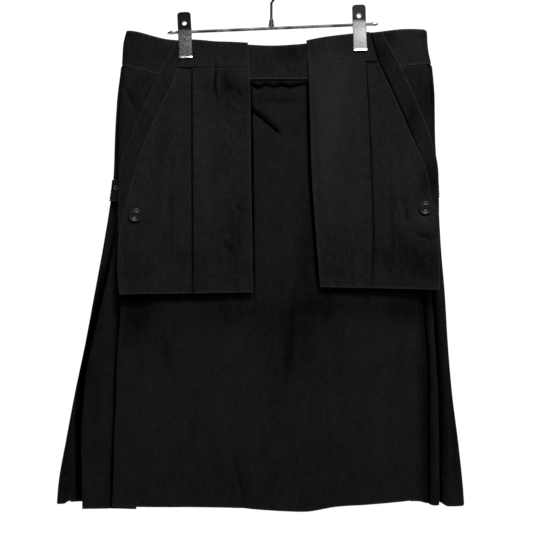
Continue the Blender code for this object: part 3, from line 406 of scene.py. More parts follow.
def lay_cloth(name, grid, thickness, finish, edges=(True, True, True, True), middle=None,
              flip=False, bevel=0.0, as_hem=False, folds=0.3, bumps=None, light_and_fade_patches=(), painted_shade_lines=()):
    """Turn a grid of (x, y, drop) points into a piece of cloth with its own thickness.

    edges says how much the top, bottom, first and last edges show wear, and folds how much the
    folded ones do; middle is the column that the weave is measured from, and as_hem lets the warp
    follow the pleats. The shade lines are painted shade: dark lines beside folds, panel edges and hems
    that lie over this cloth, given like creases. The patches are broad marks of painted light and
    shade, with some uneven dye: X, drop, reach across and down, amount.
    Faces point to the outside, where flip turns them.
    """
    rows, columns = grid.shape[:2]
    across, down = grid_lengths(grid, 1), grid_lengths(grid, 0)
    if middle is not None:
        across = across - across[:, middle:middle + 1]
    weft = np.repeat(across[-1:], rows, 0) if as_hem else across
    steps = np.diff(grid[..., :2], axis=1)
    headings = steps / np.maximum(np.linalg.norm(steps, axis=2, keepdims=True), 0.01)
    turns = np.linalg.norm(np.diff(headings, axis=1), axis=2).mean(0)
    worn = np.zeros((rows, columns))
    for column in np.where(turns > FOLD_TURN)[0] + 1:
        near = (across - across[:, column:column + 1]) / WEAR_REACH
        worn = np.maximum(worn, folds * np.exp(-near ** 2))
    for shown, length in zip(edges, (down, down[-1:] - down, across - across[:, :1],
                                     across[:, -1:] - across)):
        worn = np.maximum(worn, shown * np.exp(-(length / WEAR_REACH) ** 2))
    points = [to_world(*point) for point in grid.reshape(-1, 3)]
    faces = []
    for row in range(rows - 1):
        for column in range(columns - 1):
            corner = row * columns + column
            face = (corner, corner + columns, corner + columns + 1, corner + 1)
            faces.append(face[::-1] if flip else face)
    mesh = bpy.data.meshes.new("cloth_" + name)
    mesh.from_pydata(points, [], faces)
    uv_layer = mesh.uv_layers.new(name=CLOTH_UV)
    corners = np.empty(len(mesh.loops), np.int64)
    mesh.loops.foreach_get("vertex_index", corners)
    mapped = np.stack([weft.ravel()[corners], grid[..., 2].ravel()[corners]], 1)
    uv_layer.data.foreach_set("uv", mapped.astype(np.float32).ravel())
    # Painted shade: black in the hollows of deep creases and along the given shade lines.
    painted_shade = np.zeros((rows, columns)) if bumps is None else np.clip(
        (-bumps(grid[..., 0], grid[..., 2]) - SHADE_FROM) / SHADE_SPAN, 0.0, 1.0)
    for gap in painted_shade_lines:
        painted_shade = np.maximum(painted_shade, np.clip(crease_height(grid[..., 0], grid[..., 2], *gap), 0, 1))
    # Painted light and shade: broad patches, with some uneven dye among them.
    fade_and_painted_light = np.full((rows, columns), 0.5)
    for x, drop, reach_x, reach_drop, amount in light_and_fade_patches:
        fade_and_painted_light += amount * np.exp(-((grid[..., 0] - x) / reach_x) ** 2
                                 - ((grid[..., 2] - drop) / reach_drop) ** 2)
    for kind, values in ((WEAR_AND_RIM_HIGHLIGHT, worn), (CREASE_SHADE, painted_shade), (FADE_AND_PAINTED_LIGHT, np.clip(fade_and_painted_light, 0.0, 1.0))):
        mesh.attributes.new(kind, "FLOAT", "POINT").data.foreach_set(
            "value", values.astype(np.float32).ravel())
    mesh.shade_smooth()
    mesh.materials.append(finish)
    made = bpy.data.objects.new("cloth_" + name, mesh)
    bpy.context.scene.collection.objects.link(made)
    wall = made.modifiers.new("wall", "SOLIDIFY")
    wall.thickness, wall.offset = thickness * MM, 0.0
    wall.use_even_offset = True
    wall.thickness_clamp = 1.5
    if bevel:
        soft = made.modifiers.new("soft_edges", "BEVEL")
        soft.width, soft.segments = bevel * MM, 2
        soft.limit_method, soft.angle_limit = "ANGLE", math.radians(50)
    made_pieces.append(made)
    print(f"{name}: {rows} by {columns} points, {across[:, -1].max() - across[:, 0].min():.0f} by "
          f"{down[-1].max():.0f} mm of cloth")
    return made


# %% [markdown]
# ## Materials
# Black cotton is not black: it sends back about one part in a hundred of the light, evenly in all
# directions, with hardly any shine. Threads and the rib are under 1 mm, too fine for this picture,
# so they are drawn two to three times as coarse: short noise along the warp, short noise along the
# weft, and an uneven rib. Edges that rub are greyer. Painted shade makes deep hollows black and
# takes their shine away, and broad patches of painted light and shade, with some uneven dye, shift
# the tone.


# %% Colours and nodes
def shade(code):
    """An sRGB hex code as the linear colour that Blender wants."""
    parts = [int(code[place:place + 2], 16) / 255 for place in (1, 3, 5)]
    return (*[p / 12.92 if p <= 0.04045 else ((p + 0.055) / 1.055) ** 2.4 for p in parts], 1.0)


def node(tree, kind, inputs=None, **settings):
    """Add one node with its settings; an input is a value or an output socket to link."""
    made = tree.nodes.new(kind)
    for name, value in settings.items():
        setattr(made, name, value)
    for name, value in (inputs or {}).items():       # a name, or a place in the node's list
        if isinstance(value, bpy.types.NodeSocket):
            tree.links.new(value, made.inputs[name])
        else:
            made.inputs[name].default_value = value
    return made


def new_material(name):
    """An empty node material and its shader and output."""
    made = bpy.data.materials.new(name)
    made.use_nodes = True
    made.node_tree.nodes.clear()
    shader = node(made.node_tree, "ShaderNodeBsdfPrincipled")
    node(made.node_tree, "ShaderNodeOutputMaterial", {"Surface": shader.outputs[0]})
    return made, made.node_tree, shader


# %% Black cotton twill
RIB_MM, STREAK_MM, STREAK_LONG_MM, BLOTCH_MM, GRAIN_MM = 2.8, 3.2, 46.0, 22.0, 2.7


def cotton_twill(name, dark, light, worn):
    """The kilt's cloth in one shade."""
    made, tree, shader = new_material(name)
    place = node(tree, "ShaderNodeUVMap", uv_map=CLOTH_UV).outputs[0]

    def total(*terms):
        """The sum of outputs, each times its number."""
        result = None
        for socket, factor in terms:
            part = node(tree, "ShaderNodeMath", {0: socket, 1: factor}, operation="MULTIPLY")
            result = part.outputs[0] if result is None else node(
                tree, "ShaderNodeMath", {0: result, 1: part.outputs[0]}).outputs[0]
        return result

    def fibres(across, along, detail, seed):
        """Noise with its grain this many millimetres across and along the warp."""
        laid = node(tree, "ShaderNodeMapping", {
            "Vector": place, "Location": (seed, seed, 0), "Scale": (1 / across, 1 / along, 1)})
        return node(tree, "ShaderNodeTexNoise", {
            "Vector": laid.outputs[0], "Scale": 1.0, "Detail": detail, "Roughness": 0.6},
            noise_dimensions="2D").outputs[0]

    streak = fibres(STREAK_MM, STREAK_LONG_MM, 3.0, 3.1)
    blotch = fibres(BLOTCH_MM, BLOTCH_MM * 1.6, 3.0, 7.7)
    warp = fibres(GRAIN_MM * 0.7, GRAIN_MM * 4.0, 1.0, 1.3)
    weft = fibres(GRAIN_MM * 4.0, GRAIN_MM * 0.7, 1.0, 9.2)
    u = node(tree, "ShaderNodeSeparateXYZ", {"Vector": place}).outputs[0]
    rib = node(tree, "ShaderNodeMath", {0: total((u, 2 * math.pi / RIB_MM), (streak, 6.0))},
               operation="SINE").outputs[0]
    # Patches of painted light and shade, with some uneven dye, shift the tone.
    fade_and_painted_light = node(tree, "ShaderNodeAttribute", attribute_name=FADE_AND_PAINTED_LIGHT).outputs["Fac"]
    tone = total((streak, 0.35), (blotch, 0.55), (warp, 0.8), (weft, 0.6), (rib, 0.04), (fade_and_painted_light, 1.5))
    tone = node(tree, "ShaderNodeMapRange", {"Value": tone, "From Min": 1.2, "From Max": 2.6})
    cloth = node(tree, "ShaderNodeMix", {0: tone.outputs[0], 6: shade(dark), 7: shade(light)},
                 data_type="RGBA").outputs[2]
    wear = node(tree, "ShaderNodeAttribute", attribute_name=WEAR_AND_RIM_HIGHLIGHT).outputs["Fac"]
    uneven = node(tree, "ShaderNodeMath", {0: wear, 1: warp}, operation="MULTIPLY").outputs[0]
    cloth = node(tree, "ShaderNodeMix", {0: uneven, 6: cloth, 7: shade(worn)},
                 data_type="RGBA").outputs[2]
    # Painted shade: the hollows and shade lines go black and lose their shine.
    crease_shade_fac = node(tree, "ShaderNodeAttribute", attribute_name=CREASE_SHADE).outputs["Fac"]
    cloth = node(tree, "ShaderNodeMix", {0: crease_shade_fac, 6: cloth, 7: shade("#000000")},
                 data_type="RGBA").outputs[2]
    shine = node(tree, "ShaderNodeMapRange", {"Value": crease_shade_fac, "To Min": 0.045, "To Max": 0.0})
    height = total((rib, 0.25), (warp, 0.8), (weft, 0.6), (streak, 0.8))
    bump = node(tree, "ShaderNodeBump", {"Height": height, "Strength": 0.6, "Distance": 0.4 * MM})
    rough = node(tree, "ShaderNodeMapRange", {"Value": warp, "To Min": 0.84, "To Max": 0.96})
    tree.links.new(cloth, shader.inputs["Base Color"])
    tree.links.new(bump.outputs[0], shader.inputs["Normal"])
    tree.links.new(rough.outputs[0], shader.inputs["Roughness"])
    tree.links.new(shine.outputs[0], shader.inputs["Specular IOR Level"])
    return made


# Painted light: the second copy of the same cloth is painted a little lighter, for the waistband, the
# panels and the tabs.
TWILL = cotton_twill("black_cotton_twill", "#000000", "#101010", "#222222")
TWILL_PAINTED_LIGHTER = cotton_twill("black_cotton_twill_painted_lighter", "#000000", "#151515", "#2A2A2A")
print("cloth finishes:", TWILL.name, TWILL_PAINTED_LIGHTER.name)

# %% [markdown]
# ## Skirt
# The apron is one flat panel with an edge folded under at each side. Beside it a side piece comes
# out from underneath, makes one knife pleat and wraps round to the side seam. Behind, each half of
# the back is folded into six knife pleats that point to the centre. The paths below say exactly
# that, as lengths and depths.

# %% Paths of the skirt's pieces
CLOTH_STEP, CREASED_STEP = 4.0, 2.0     # width of a quad across plain and across creased cloth
GAP = 0.3                      # between two pieces of cloth that are sewn together
PLEAT_RISE, BACK_PLEATS = 14.0, 6
FIRST_TUCK_SHARE, TUCK_SHARE = 0.45, 0.72      # the deepest a back pleat goes, of its width
DEEP_FOLD, FOLD_RISE = 2.0, 1.7        # a side pleat's fold, in pitches: its depth, its rise if wide
INNER_REACH, INNER_DEPTH = 0.3, 1.5    # where a pleat turns back inside, in pitches
APRON_LAP = 2.0                # the side piece starts this far past the apron's turned-back edge
ROUND_THE_SIDE = (0.0, 0.12, 0.25, 0.4, 0.55, 0.7, 0.85, 1.0)
UNDER_BAND = 1.9               # the skirt's top sits this far behind the waistband's face


def apron_path(section, level):
    """The apron with a turned-back edge at each side."""
    pitch, tuck = section.size.pitch, section.size.tuck
    left = section.length_to(EDGES["apron_left"](level))
    right = section.length_to(EDGES["apron_right"](level))
    start = pressed_fold(left, 0.0, pitch, -1, tuck)
    end = pressed_fold(right, 0.0, pitch, 1, tuck)
    between_panels = [(x, 0.0) for x in (-45.0, 72.0)]       # the creased middle gets finer quads
    path = [(left + tuck, pitch)] + start[::-1] + between_panels + end + [(right - tuck, pitch)]
    return [(*place, APRON_HEM) for place in path]


def side_path(section, level, side):
    """From under the apron's edge out to the pleat, back under it, and round to the side seam."""
    word = "left" if side < 0 else "right"
    hems = {-1: (LEFT_PLEAT_HEM, LEFT_SIDE_HEM), 1: (RIGHT_PLEAT_HEM, RIGHT_SIDE_HEM)}[side]
    pitch, tuck = section.size.pitch, section.size.tuck
    apron = abs(section.length_to(EDGES[f"apron_{word}"](level)))
    pleat = abs(section.length_to(EDGES[f"pleat_{word}"](level)))
    seam = section.runs[side].side_length - GAP / 2
    clear = pitch / 2 + BODY_WALL
    spare = min(max((pleat - apron - clear) / PLEAT_RISE, 0.0), 1.0)
    lift = (DEEP_FOLD - FOLD_RISE * spare) * pitch
    start, inner = apron - tuck + APRON_LAP, pleat - tuck

    def layer(s):
        """Depth of the pleat's outer layer: level under the apron, then rising to its fold."""
        rise = min(max((s - apron - clear) / max(pleat - apron - clear, 1.0), 0.0), 1.0)
        return 2 * pitch + (lift - 2 * pitch) * rise

    def between(low, high, added):
        """Places along the layer from one length to another."""
        return [(low + (high - low) * part, layer(low + (high - low) * part) + added)
                for part in QUARTERS]

    fold = pressed_fold(pleat, lift, pitch, 1, tuck)
    outward = between(min(start, inner), fold[0][0], 0.0)[:-1]
    outward[0] = (outward[0][0], pitch + BODY_WALL + GAP)    # it meets the apron's turned-back edge
    last_under = fold[-1][0]
    back = [(s, layer(s) + pitch) for s in
            (last_under + (inner - last_under) * part for part in QUARTERS[1:])]
    for index in range(5, len(fold)):            # the eased stretch follows the rising layer
        s, depth = fold[index]
        fold[index] = (s, depth - lift + layer(s))
    again = [(inner - INNER_REACH * pitch, layer(inner) + INNER_DEPTH * pitch)]
    again += between(inner, pleat, 2 * pitch)
    path = [(*place, hems[0]) for place in outward + fold + back]
    path += [(*place, hems[1]) for place in again]
    free = pleat + clear
    for part in ROUND_THE_SIDE:
        depth = (lift + 2 * pitch) * (1 - float(smoothstep(ROUND_THE_SIDE[1], 1.0, part)))
        path.append((free + (seam - free) * part, depth, hems[1]))
    return [(side * s, depth, hem) for s, depth, hem in path]


def back_path(section, level, side):
    """Knife pleats from the side seam to the centre back, their folds towards the centre."""
    pitch, run = section.size.pitch, section.runs[side]
    seam, end = run.side_length + GAP / 2, run.length - GAP
    last_fold = end - pitch / 2 - BODY_WALL - GAP
    width = (last_fold - seam) / BACK_PLEATS
    path = [(seam, 0.0), (seam + width * 0.3, 0.0)]
    for pleat in range(BACK_PLEATS):
        tuck = min(section.size.tuck, width * (TUCK_SHARE if pleat else FIRST_TUCK_SHARE))
        edge = seam + width * (pleat + 1)
        slope = 2 * pitch / width if pleat else 0.0
        path += pressed_fold(edge, 0.0, pitch, 1, tuck, slope)
        path += [(edge - tuck, pitch + slope * tuck),
                 (edge - tuck - INNER_REACH * pitch, INNER_DEPTH * pitch + slope * tuck),
                 (edge - tuck, 2 * pitch + slope * tuck)]
        if pleat < BACK_PLEATS - 1:
            path += [(edge, 2 * pitch), (edge + width * 0.5, pitch)]
        else:
            path.append((end, 2 * pitch))
    return [(side * s, depth, BACK_HEM) for s, depth in path]


# %% Laying the skirt's pieces
BODY_LEVELS = np.concatenate([np.arange(SEAM_DROP, 82.0, 1.25), np.arange(82.0, 152.0, 2.2),
                              np.arange(152.0, 628.0, 6.0), np.linspace(628.0, HEM_DROP, 14)])
BAND_LAP, CREASE_FADE = 4.5, 3.0       # below the seam: where the skirt comes level, and creases start
CLEARANCE = 0.1                # of the skirt's face behind the tube


def skirt_grid(path_at, bumps, facing, step=CLOTH_STEP, fine_stretch=None):
    """Points of one skirt piece; facing is -1 for the front and 1 for the back."""
    widest = [place[:2] for place in path_at(section_at(HEM_DROP), HEM_DROP)]
    counts = stretch_counts(widest, step, CREASED_STEP, fine_stretch)
    rows = []
    for level in BODY_LEVELS:
        section = section_at(float(level))
        path = path_at(section, float(level))
        hems = [place[2] for place in path]
        hem_at = [hems[0]] + [hem for hem, count in zip(hems[1:], counts) for _ in range(count)]
        behind = UNDER_BAND * (1 - float(smoothstep(SEAM_DROP, SEAM_DROP + BAND_LAP, level)))
        row = []
        for (s, depth), hem in zip(spread([place[:2] for place in path], counts), hem_at):
            plan = section.place(s, depth + behind + BODY_WALL / 2 + CLEARANCE)
            row.append((plan.x, plan.y, body_drop(float(level), plan.x, hem(plan.x))))
        rows.append(row)
    grid = np.array(rows)
    fade = smoothstep(SEAM_DROP, SEAM_DROP + CREASE_FADE, BODY_LEVELS)[:, None]
    grid[..., 1] += facing * fade * bumps(grid[..., 0], grid[..., 2])
    return grid


# %% Creases of the front, as (points, width, height, lip)
APRON_CREASES = (
    (((-46, 104), (-29, 114), (-12, 128), (14, 151)), 2.6, -7.0, 0.0),   # the sharp slanting fold
    (((-34, 99), (-10, 116), (22, 143)), 6.5, 2.8, 0.4),
    (((-60, 75.6), (0, 75.8), (80, 75.4)), 2.0, 1.3, 0.0),        # the welt under the waistband
    (((-60, 81), (-27, 80), (-19, 85), (-8, 80), (2, 84), (14, 80), (26, 84), (40, 80), (80, 81)),
     3.0, -5.0, 0.0),
    (((-38, 95), (-5, 98), (25, 95), (60, 98)), 7.0, 2.6, 0.0),
    (((-8, 104), (14, 106), (38, 104)), 2.2, -1.8, 0.5),
    (((27, 320), (29, 383), (28, 440), (31, 500)), 4.5, -1.4, 0.5),
    (((12, 350), (18, 430), (14, 540)), 16.0, -1.3, 0.0),
    (((-55, 360), (-48, 450), (-60, 560)), 20.0, 1.2, 0.0),
    (((-58, 585), (-46, 628), (-38, 660), (-38, 690)), 4.0, -2.6, 0.8),
    (((-30, 600), (-27, 640), (-28, 690)), 7.0, 1.6, 0.0),
    (((-52, 640), (-49, 690)), 6.0, 1.3, 0.0),
    (((145, 380), (149, 480), (143, 660)), 11.0, 1.5, 0.0),
    (((176, 400), (178, 500), (174, 670)), 6.0, -1.2, 0.4),
    (((95, 420), (99, 540), (92, 650)), 9.0, -0.9, 0.0),
    (((70, 400), (64, 500), (68, 600)), 12.0, 1.0, 0.0),
    (((-168, 395), (-150, 440), (-142, 500)), 6.0, -1.5, 0.5),
    (((-150, 385), (-138, 420), (-130, 470)), 5.0, -1.3, 0.5),
    (((-196, 410), (-180, 470), (-186, 540)), 10.0, 2.0, 0.0),
    (((-120, 480), (-112, 560), (-122, 640)), 8.0, -1.5, 0.0),
    (((-95, 560), (-78, 610), (-66, 668)), 4.5, -1.7, 0.7),
    (((205, 420), (207, 520), (204, 640)), 5.0, -1.6, 0.0),
    (((-213, 72), (-205, 88), (-186, 122), (-182, 140)), 3.0, -2.2, 0.8),  # from the side into the hip
    (((-208, 92), (-200, 110), (-194, 150)), 5.0, 1.8, 0.0),
    (((-196, 70), (-191, 84), (-193, 104)), 3.0, -1.8, 0.0),
    (((-178, 74), (-174, 90), (-176, 112)), 3.4, -1.6, 0.0),
    (((-160, 76), (-158, 90), (-163, 104)), 3.0, 1.4, 0.0),
    (((208, 62), (207, 92), (209, 116)), 3.0, -2.6, 0.4),
    (((224, 72), (225, 92), (224, 112)), 2.4, -2.2, 0.0),
    (((192, 66), (195, 80), (193, 98)), 4.0, 1.8, 0.0),
    (((214, 191), (226, 192), (238, 191)), 2.4, -3.0, 0.0),
    (((-222, 330), (-226, 420), (-240, 520), (-244, 660)), 6.0, 1.7, 0.0),
    (((-236, 420), (-250, 520), (-256, 600)), 5.0, -1.5, 0.0),
    (((-262, 590), (-264, 640), (-262, 690)), 4.0, 1.9, 0.0),
    (((228, 420), (229, 540), (228, 660)), 3.0, 1.0, 0.0),
    (((252, 500), (258, 600), (262, 690)), 5.0, -2.0, 0.0),
)


def beside_fold(column, away, low, high, width, height):
    """A line in the layer next to a folded edge, used both as a trough of the cloth and as a line of
    painted shade.
    """
    points = [(EDGES[column](drop) + away, drop) for drop in np.linspace(low, high, 9)]
    return (points, width, height, 0.0)


FOLD_TROUGHS = (beside_fold("pleat_left", -6.5, 300, 700, 4.0, -5.0),
                beside_fold("apron_left", -4.0, 280, 700, 2.6, -2.2),
                beside_fold("apron_right", 3.0, 280, 700, 2.4, -3.0),
                beside_fold("pleat_right", 4.0, 290, 700, 3.0, -4.0))
front_bumps = relief(APRON_CREASES + FOLD_TROUGHS, seed=4, fine=0.5)

# Painted shade: the darkest part of each trough, which no light reaches, painted black like creases of
# the tone.
SIDE_SHADE_LINES = (beside_fold("pleat_left", -2.3, 286, 760, 1.9, 3.0),
             beside_fold("pleat_left", -4.6, 410, 570, 2.9, 3.0),
             beside_fold("pleat_left", -5.0, 570, 760, 3.4, 3.0),
             beside_fold("apron_left", -1.9, 300, 760, 1.3, 2.2),
             beside_fold("apron_right", 2.2, 270, 760, 1.7, 3.0),
             beside_fold("pleat_right", 2.4, 280, 760, 1.8, 3.0),
             beside_fold("pleat_right", 7.0, 280, 760, 6.0, 0.45))
# Painted shade and painted shadow on the apron: beside the panels' inner edges, under their hems and
# under the waistband's lower edge.
APRON_SHADE_LINES = (
    beside_fold("apron_right", -1.5, 280, 760, 4.0, 0.6),
    (((-28.5, 60), (-26.6, 214), (-24.0, 390)), 1.7, 2.2, 0.0),          # beside the left panel
    (((50.4, 60), (54.6, 214), (59.4, 279), (65.6, 376)), 2.2, 3.0, 0.0),    # and the right one
    (((-224, 380), (-190, 380), (-168, 376), (-100, 374), (-20, 372)), 5.5, 1.8, 0.0),
    (((64, 366), (150, 368), (240, 370)), 4.2, 1.6, 0.0),                # under their hems
    (((-60, 73.5), (0, 73.5), (80, 73.5)), 1.5, 1.4, 0.0),
)

# Broad patches of painted light and shade, such as the shadows under the panels' hems and corners and
# darker pleat gaps and hem, with some uneven dye among them: X, drop, their reach across and down, and
# how much lighter (or darker).
APRON_LIGHT_AND_FADE = ((10, 190, 60, 110, 0.05), (-185, 400, 30, 40, -0.5), (-140, 440, 40, 60, -0.05),
                 (-60, 400, 50, 20, -0.3), (90, 390, 60, 14, -0.3), (190, 392, 40, 22, -0.45),
                 (76, 388, 8, 26, -0.4), (50, 330, 14, 90, -0.3), (-10, 90, 60, 12, -0.1),
                 (-6, 640, 240, 60, -0.13), (214, 560, 9, 170, -0.35), (30, 430, 60, 60, -0.2),
                 (-288, 420, 50, 90, -0.3), (146, 560, 16, 110, 0.06), (14, 470, 22, 130, -0.08),
                 (-50, 520, 30, 120, 0.05), (-250, 560, 30, 120, -0.1), (255, 560, 30, 120, -0.2),
                 (220, 100, 14, 30, -0.3), (-288, 600, 14, 120, -0.3))

# %% Creases of the back, which the photo doesn't show
BACK_CREASES = (
    (((-30, 96), (4, 104), (44, 98)), 5.0, -2.2, 0.4),
    (((-150, 90), (-120, 108), (-84, 116)), 5.0, -2.1, 0.5),
    (((90, 112), (126, 104), (160, 88)), 5.0, -2.0, 0.5),
    (((-96, 240), (-92, 330), (-99, 420)), 9.0, -1.8, 0.0),
    (((60, 260), (66, 350), (58, 470)), 10.0, 1.8, 0.0),
    (((150, 300), (158, 420), (152, 520)), 8.0, -1.6, 0.3),
    (((-190, 320), (-204, 430), (-214, 560)), 9.0, 1.8, 0.0),
    (((-20, 500), (-14, 580), (-22, 670)), 7.0, -2.0, 0.0),
    (((110, 560), (116, 620), (112, 680)), 6.0, 2.0, 0.0),
    (((-140, 580), (-146, 640), (-142, 690)), 6.0, -2.2, 0.0),
)
back_bumps = relief(BACK_CREASES, seed=9, fine=0.45)

# %% The five skirt pieces
apron_fine = 1 + len(QUARTERS) + len(QUARTERS[1:])       # the stretch between the two panels
apron_grid = skirt_grid(apron_path, front_bumps, -1, fine_stretch=apron_fine)
lay_cloth("apron_front", apron_grid, BODY_WALL, TWILL, edges=(False, True, False, False),
          middle=apron_grid.shape[1] // 2, folds=0.1, bumps=front_bumps, light_and_fade_patches=APRON_LIGHT_AND_FADE,
          painted_shade_lines=APRON_SHADE_LINES)
for word, side in (("left", -1), ("right", 1)):
    grid = skirt_grid(lambda section, level: side_path(section, level, side), front_bumps, -1,
                      CREASED_STEP)
    lay_cloth(f"side_pleats_{word}", grid, BODY_WALL, TWILL, edges=(False, True, False, False),
              flip=side < 0, as_hem=True, folds=0.1, bumps=front_bumps, light_and_fade_patches=APRON_LIGHT_AND_FADE,
              painted_shade_lines=SIDE_SHADE_LINES)
    grid = skirt_grid(lambda section, level: back_path(section, level, side), back_bumps, 1)
    lay_cloth(f"back_{word}", grid, BODY_WALL, TWILL, edges=(False, True, False, True),
              flip=side < 0, as_hem=True, bumps=back_bumps)

# %% [markdown]
# ## Waistband
# Two curved bands, each of doubled cloth over a stiffener, meet at the side seams. The top edge is a
# fold, so it is round; the lower edge is turned in and topstitched and catches the light. A band
# four quads wide is enough, with closer rows at both edges to round them.

# %% The two bands
BAND_LEVELS = (3.0, 4.2, 7.0, 12.0, 18.0, 24.0, 31.0, 38.0, 45.0, 52.0, 60.0, 65.0, 67.5, 69.5, 71.2,
               72.6)
BAND_CREASES = (
    (((-205, 14), (-186, 24), (-168, 26)), 4.0, -1.6, 0.6),
    (((-200, 30), (-180, 36), (-160, 46)), 5.0, 1.4, 0.0),
    (((-196, 8), (-176, 14), (-158, 13)), 3.0, -1.2, 0.0),
    (((-30, 60), (-14, 66), (4, 67)), 4.0, -1.2, 0.0),
    (((20, 34), (34, 44), (44, 58)), 4.0, -1.4, 0.0),
    (((34, 22), (42, 26), (50, 40)), 3.5, -1.8, 0.0),
    (((-24, 30), (0, 36), (22, 33)), 6.0, 1.2, 0.0),
    (((160, 6), (172, 24), (184, 34)), 4.0, -2.0, 0.6),
    (((178, 12), (196, 24), (208, 44)), 5.0, 1.6, 0.0),
    (((200, 8), (212, 20), (218, 38)), 4.0, -1.6, 0.4),
    (((-210, 62), (-120, 62), (0, 66), (120, 60), (222, 46)), 1.3, -0.5, 0.0),
)


BAND_ROLL, BAND_ROLL_END = 0.5, 9.0    # the top edge leans in by this, down to this level
BAND_PLAIN_STEPS = 56
BAND_CREASE_SHARE = 0.8        # the stiffener holds the creases down


def band_grid(back):
    """Points of one half of the waistband."""
    rows = []
    bumps = relief(BAND_CREASES if not back else BAND_CREASES[3:7] + BAND_CREASES[-1:],
                   seed=14 if back else 13, fine=0.12)
    near_seam = np.array([0.4, 0.9, 1.8, 3.2, 5.0, 8.0])
    for level in BAND_LEVELS:
        section = section_at(level)
        halves = {}
        for side, run in section.runs.items():
            length = (run.length - run.side_length) if back else run.side_length
            even = np.linspace(near_seam[-1], length, BAND_PLAIN_STEPS)[1:]
            reach = np.concatenate([near_seam, even])
            halves[side] = side * (run.side_length + (reach if back else -reach))
        places = np.concatenate([halves[-1], halves[1][-2::-1]])
        roll = BAND_ROLL * (1 - float(smoothstep(BAND_TOP, BAND_ROLL_END, level)))
        row = []
        for s in places:
            plan = section.place(float(s), BAND_WALL / 2 + roll)
            row.append((plan.x, plan.y, band_drop(level, plan.x) - 0.2))
        rows.append(row)
    grid = np.array(rows)
    grid[..., 1] += (1 if back else -1) * bumps(grid[..., 0], grid[..., 2]) * BAND_CREASE_SHARE
    return grid


# Painted light and shade on the front waistband, with some uneven dye.
BAND_LIGHT_AND_FADE = ((-180, 30, 40, 30, -0.2), (-205, 8, 14, 10, -0.2), (30, 30, 26, 22, -0.3),
                (-12, 56, 26, 14, -0.1), (164, 16, 10, 16, -0.35), (200, 30, 30, 30, 0.12))
lay_cloth("waistband_front", band_grid(False), BAND_WALL, TWILL_PAINTED_LIGHTER, middle=60,
          edges=(True, True, False, False), bevel=0.9, light_and_fade_patches=BAND_LIGHT_AND_FADE)
lay_cloth("waistband_back", band_grid(True), BAND_WALL, TWILL_PAINTED_LIGHTER, middle=60,
          edges=(True, True, False, False), flip=True, bevel=0.9)

# %% [markdown]
# ## Hanging pocket panels
# A panel hangs free from the top edge of the waistband, with a knife pleat down its middle, a
# slanted pocket mouth on its outer side and a button at its outer corner. Behind the mouth lies a
# facing, one piece with the panel's outer edge. The panel stands further off the skirt towards its
# lower outer corner, and that is what casts the wedge of shadow under it; a painted shadow on the
# apron under each hem darkens it further.

# %% The panels' measures
FLAP_WALL, FLAP_PITCH, FLAP_TUCK, FLAP_START = 0.9, 1.25, 14.0, 4.2
PANEL_ROUNDING = 0.25
STRIP_STAND, STRIP_END = 1.9, 206.0
PANELS = {
    "left": SimpleNamespace(
        out=-1, band_end=55.8,
        top=Line(((-136, 18.6), (-112, 16.2), (-78, 19.0), (-44, 20.4), (-33, 21.2))),
        inner=Line(((16, -33.3), (72, -30.0), (214, -28.2), (372, -25.4))),
        mouth=Line(((16, -120.5), (72.5, -137.5), (114.5, -157.4), (158.9, -177.2),
                    (206.6, -193.2), (251.7, -204.2), (290, -213.2), (338, -214.6),
                    (374, -212.0))),
        outer=Line(((200, -213.5), (208.6, -213.9), (338, -214.6), (374, -212.0))),
        strip=Line(((19, -134.4), (64.2, -157.6), (126.2, -186.1), (198, -213.0),
                    (208.6, -213.9), (338, -214.6))),
        pleat=Line(((55, -110.8), (214, -109.7), (374, -108.6))),
        hem=Line(((-215, 374.3), (-120, 373.2), (-25, 371.5))),
        seam_gap=GAP, seam_end=286.0),
    "right": SimpleNamespace(
        out=1, band_end=47.4,
        top=Line(((48, 18.3), (57, 16.2), (80, 12.0), (102, 9.2), (142, 5.0))),
        inner=Line(((9, 48.6), (72, 52.6), (214, 57.0), (279, 61.6), (366, 68.0))),
        mouth=Line(((5, 138.0), (47.2, 150.4), (94.8, 171.6), (141.7, 191.9), (203.7, 217.7),
                    (241, 224.4), (262, 234.4), (280, 235.2), (368, 235.0))),
        outer=Line(((196, 233.6), (205.6, 234.4), (280, 235.2), (368, 235.0))),
        strip=Line(((5, 156.1), (56.5, 182.9), (105.9, 205.4), (189.6, 232.8), (205.6, 234.4),
                    (280, 235.2))),
        pleat=Line(((46, 132.0), (117, 135.6), (214, 139.2), (274, 141.3), (368, 139.0))),
        hem=Line(((66, 364.2), (150, 366.0), (236, 368.0))),
        seam_gap=-2.0, seam_end=260.0),
}


def front_face(x, drop):
    """Y of the face that a panel hangs in front of."""
    level = level_of(drop, x)
    left, right, half_depth = TUBE["left"](level), TUBE["right"](level), TUBE["half_depth"](level)
    half_width = (right - left) / 2
    share = min(abs(x - (left + right) / 2) / half_width, 1.0)
    wave = math.cos(2 * math.pi * x / RIPPLE_WAVE + RIPPLE_PHASE)
    into_end = max(0.0, 1.0 - (1.0 - share) * half_width / (END_SHARE * half_depth))
    rounding = (1 - BULGE * share ** 2) * (1.0 - PANEL_ROUNDING * into_end ** 2)
    return (-half_depth * rounding * (1.0 - TUBE["pinch"](level) * clip_dent(x))
            * (1.0 + TUBE["ripple"](level) * wave))


HANG_OFF, SWING_OUT = 2.4, 3.2         # how much further a panel stands off at its hem, and its corner
SWAY, SWAY_START, SWAY_FULL, SWAY_INNER = 4.0, 0.5, 1.15, 0.35


def panel_stand(panel, x, drop):
    """How far a panel's outer face stands off the skirt."""
    inner, outer = panel.inner(drop), panel.outer(drop)
    outward = min(max((x - inner) / (outer - inner), 0.0), 1.0)
    down = max(drop - panel.band_end, 0.0) / (HEM_DROP / 2 - panel.band_end)
    sway = SWAY * float(smoothstep(SWAY_START, SWAY_FULL, down)) * (SWAY_INNER + outward ** 2)
    return FLAP_START + down * (HANG_OFF + SWING_OUT * outward) + sway


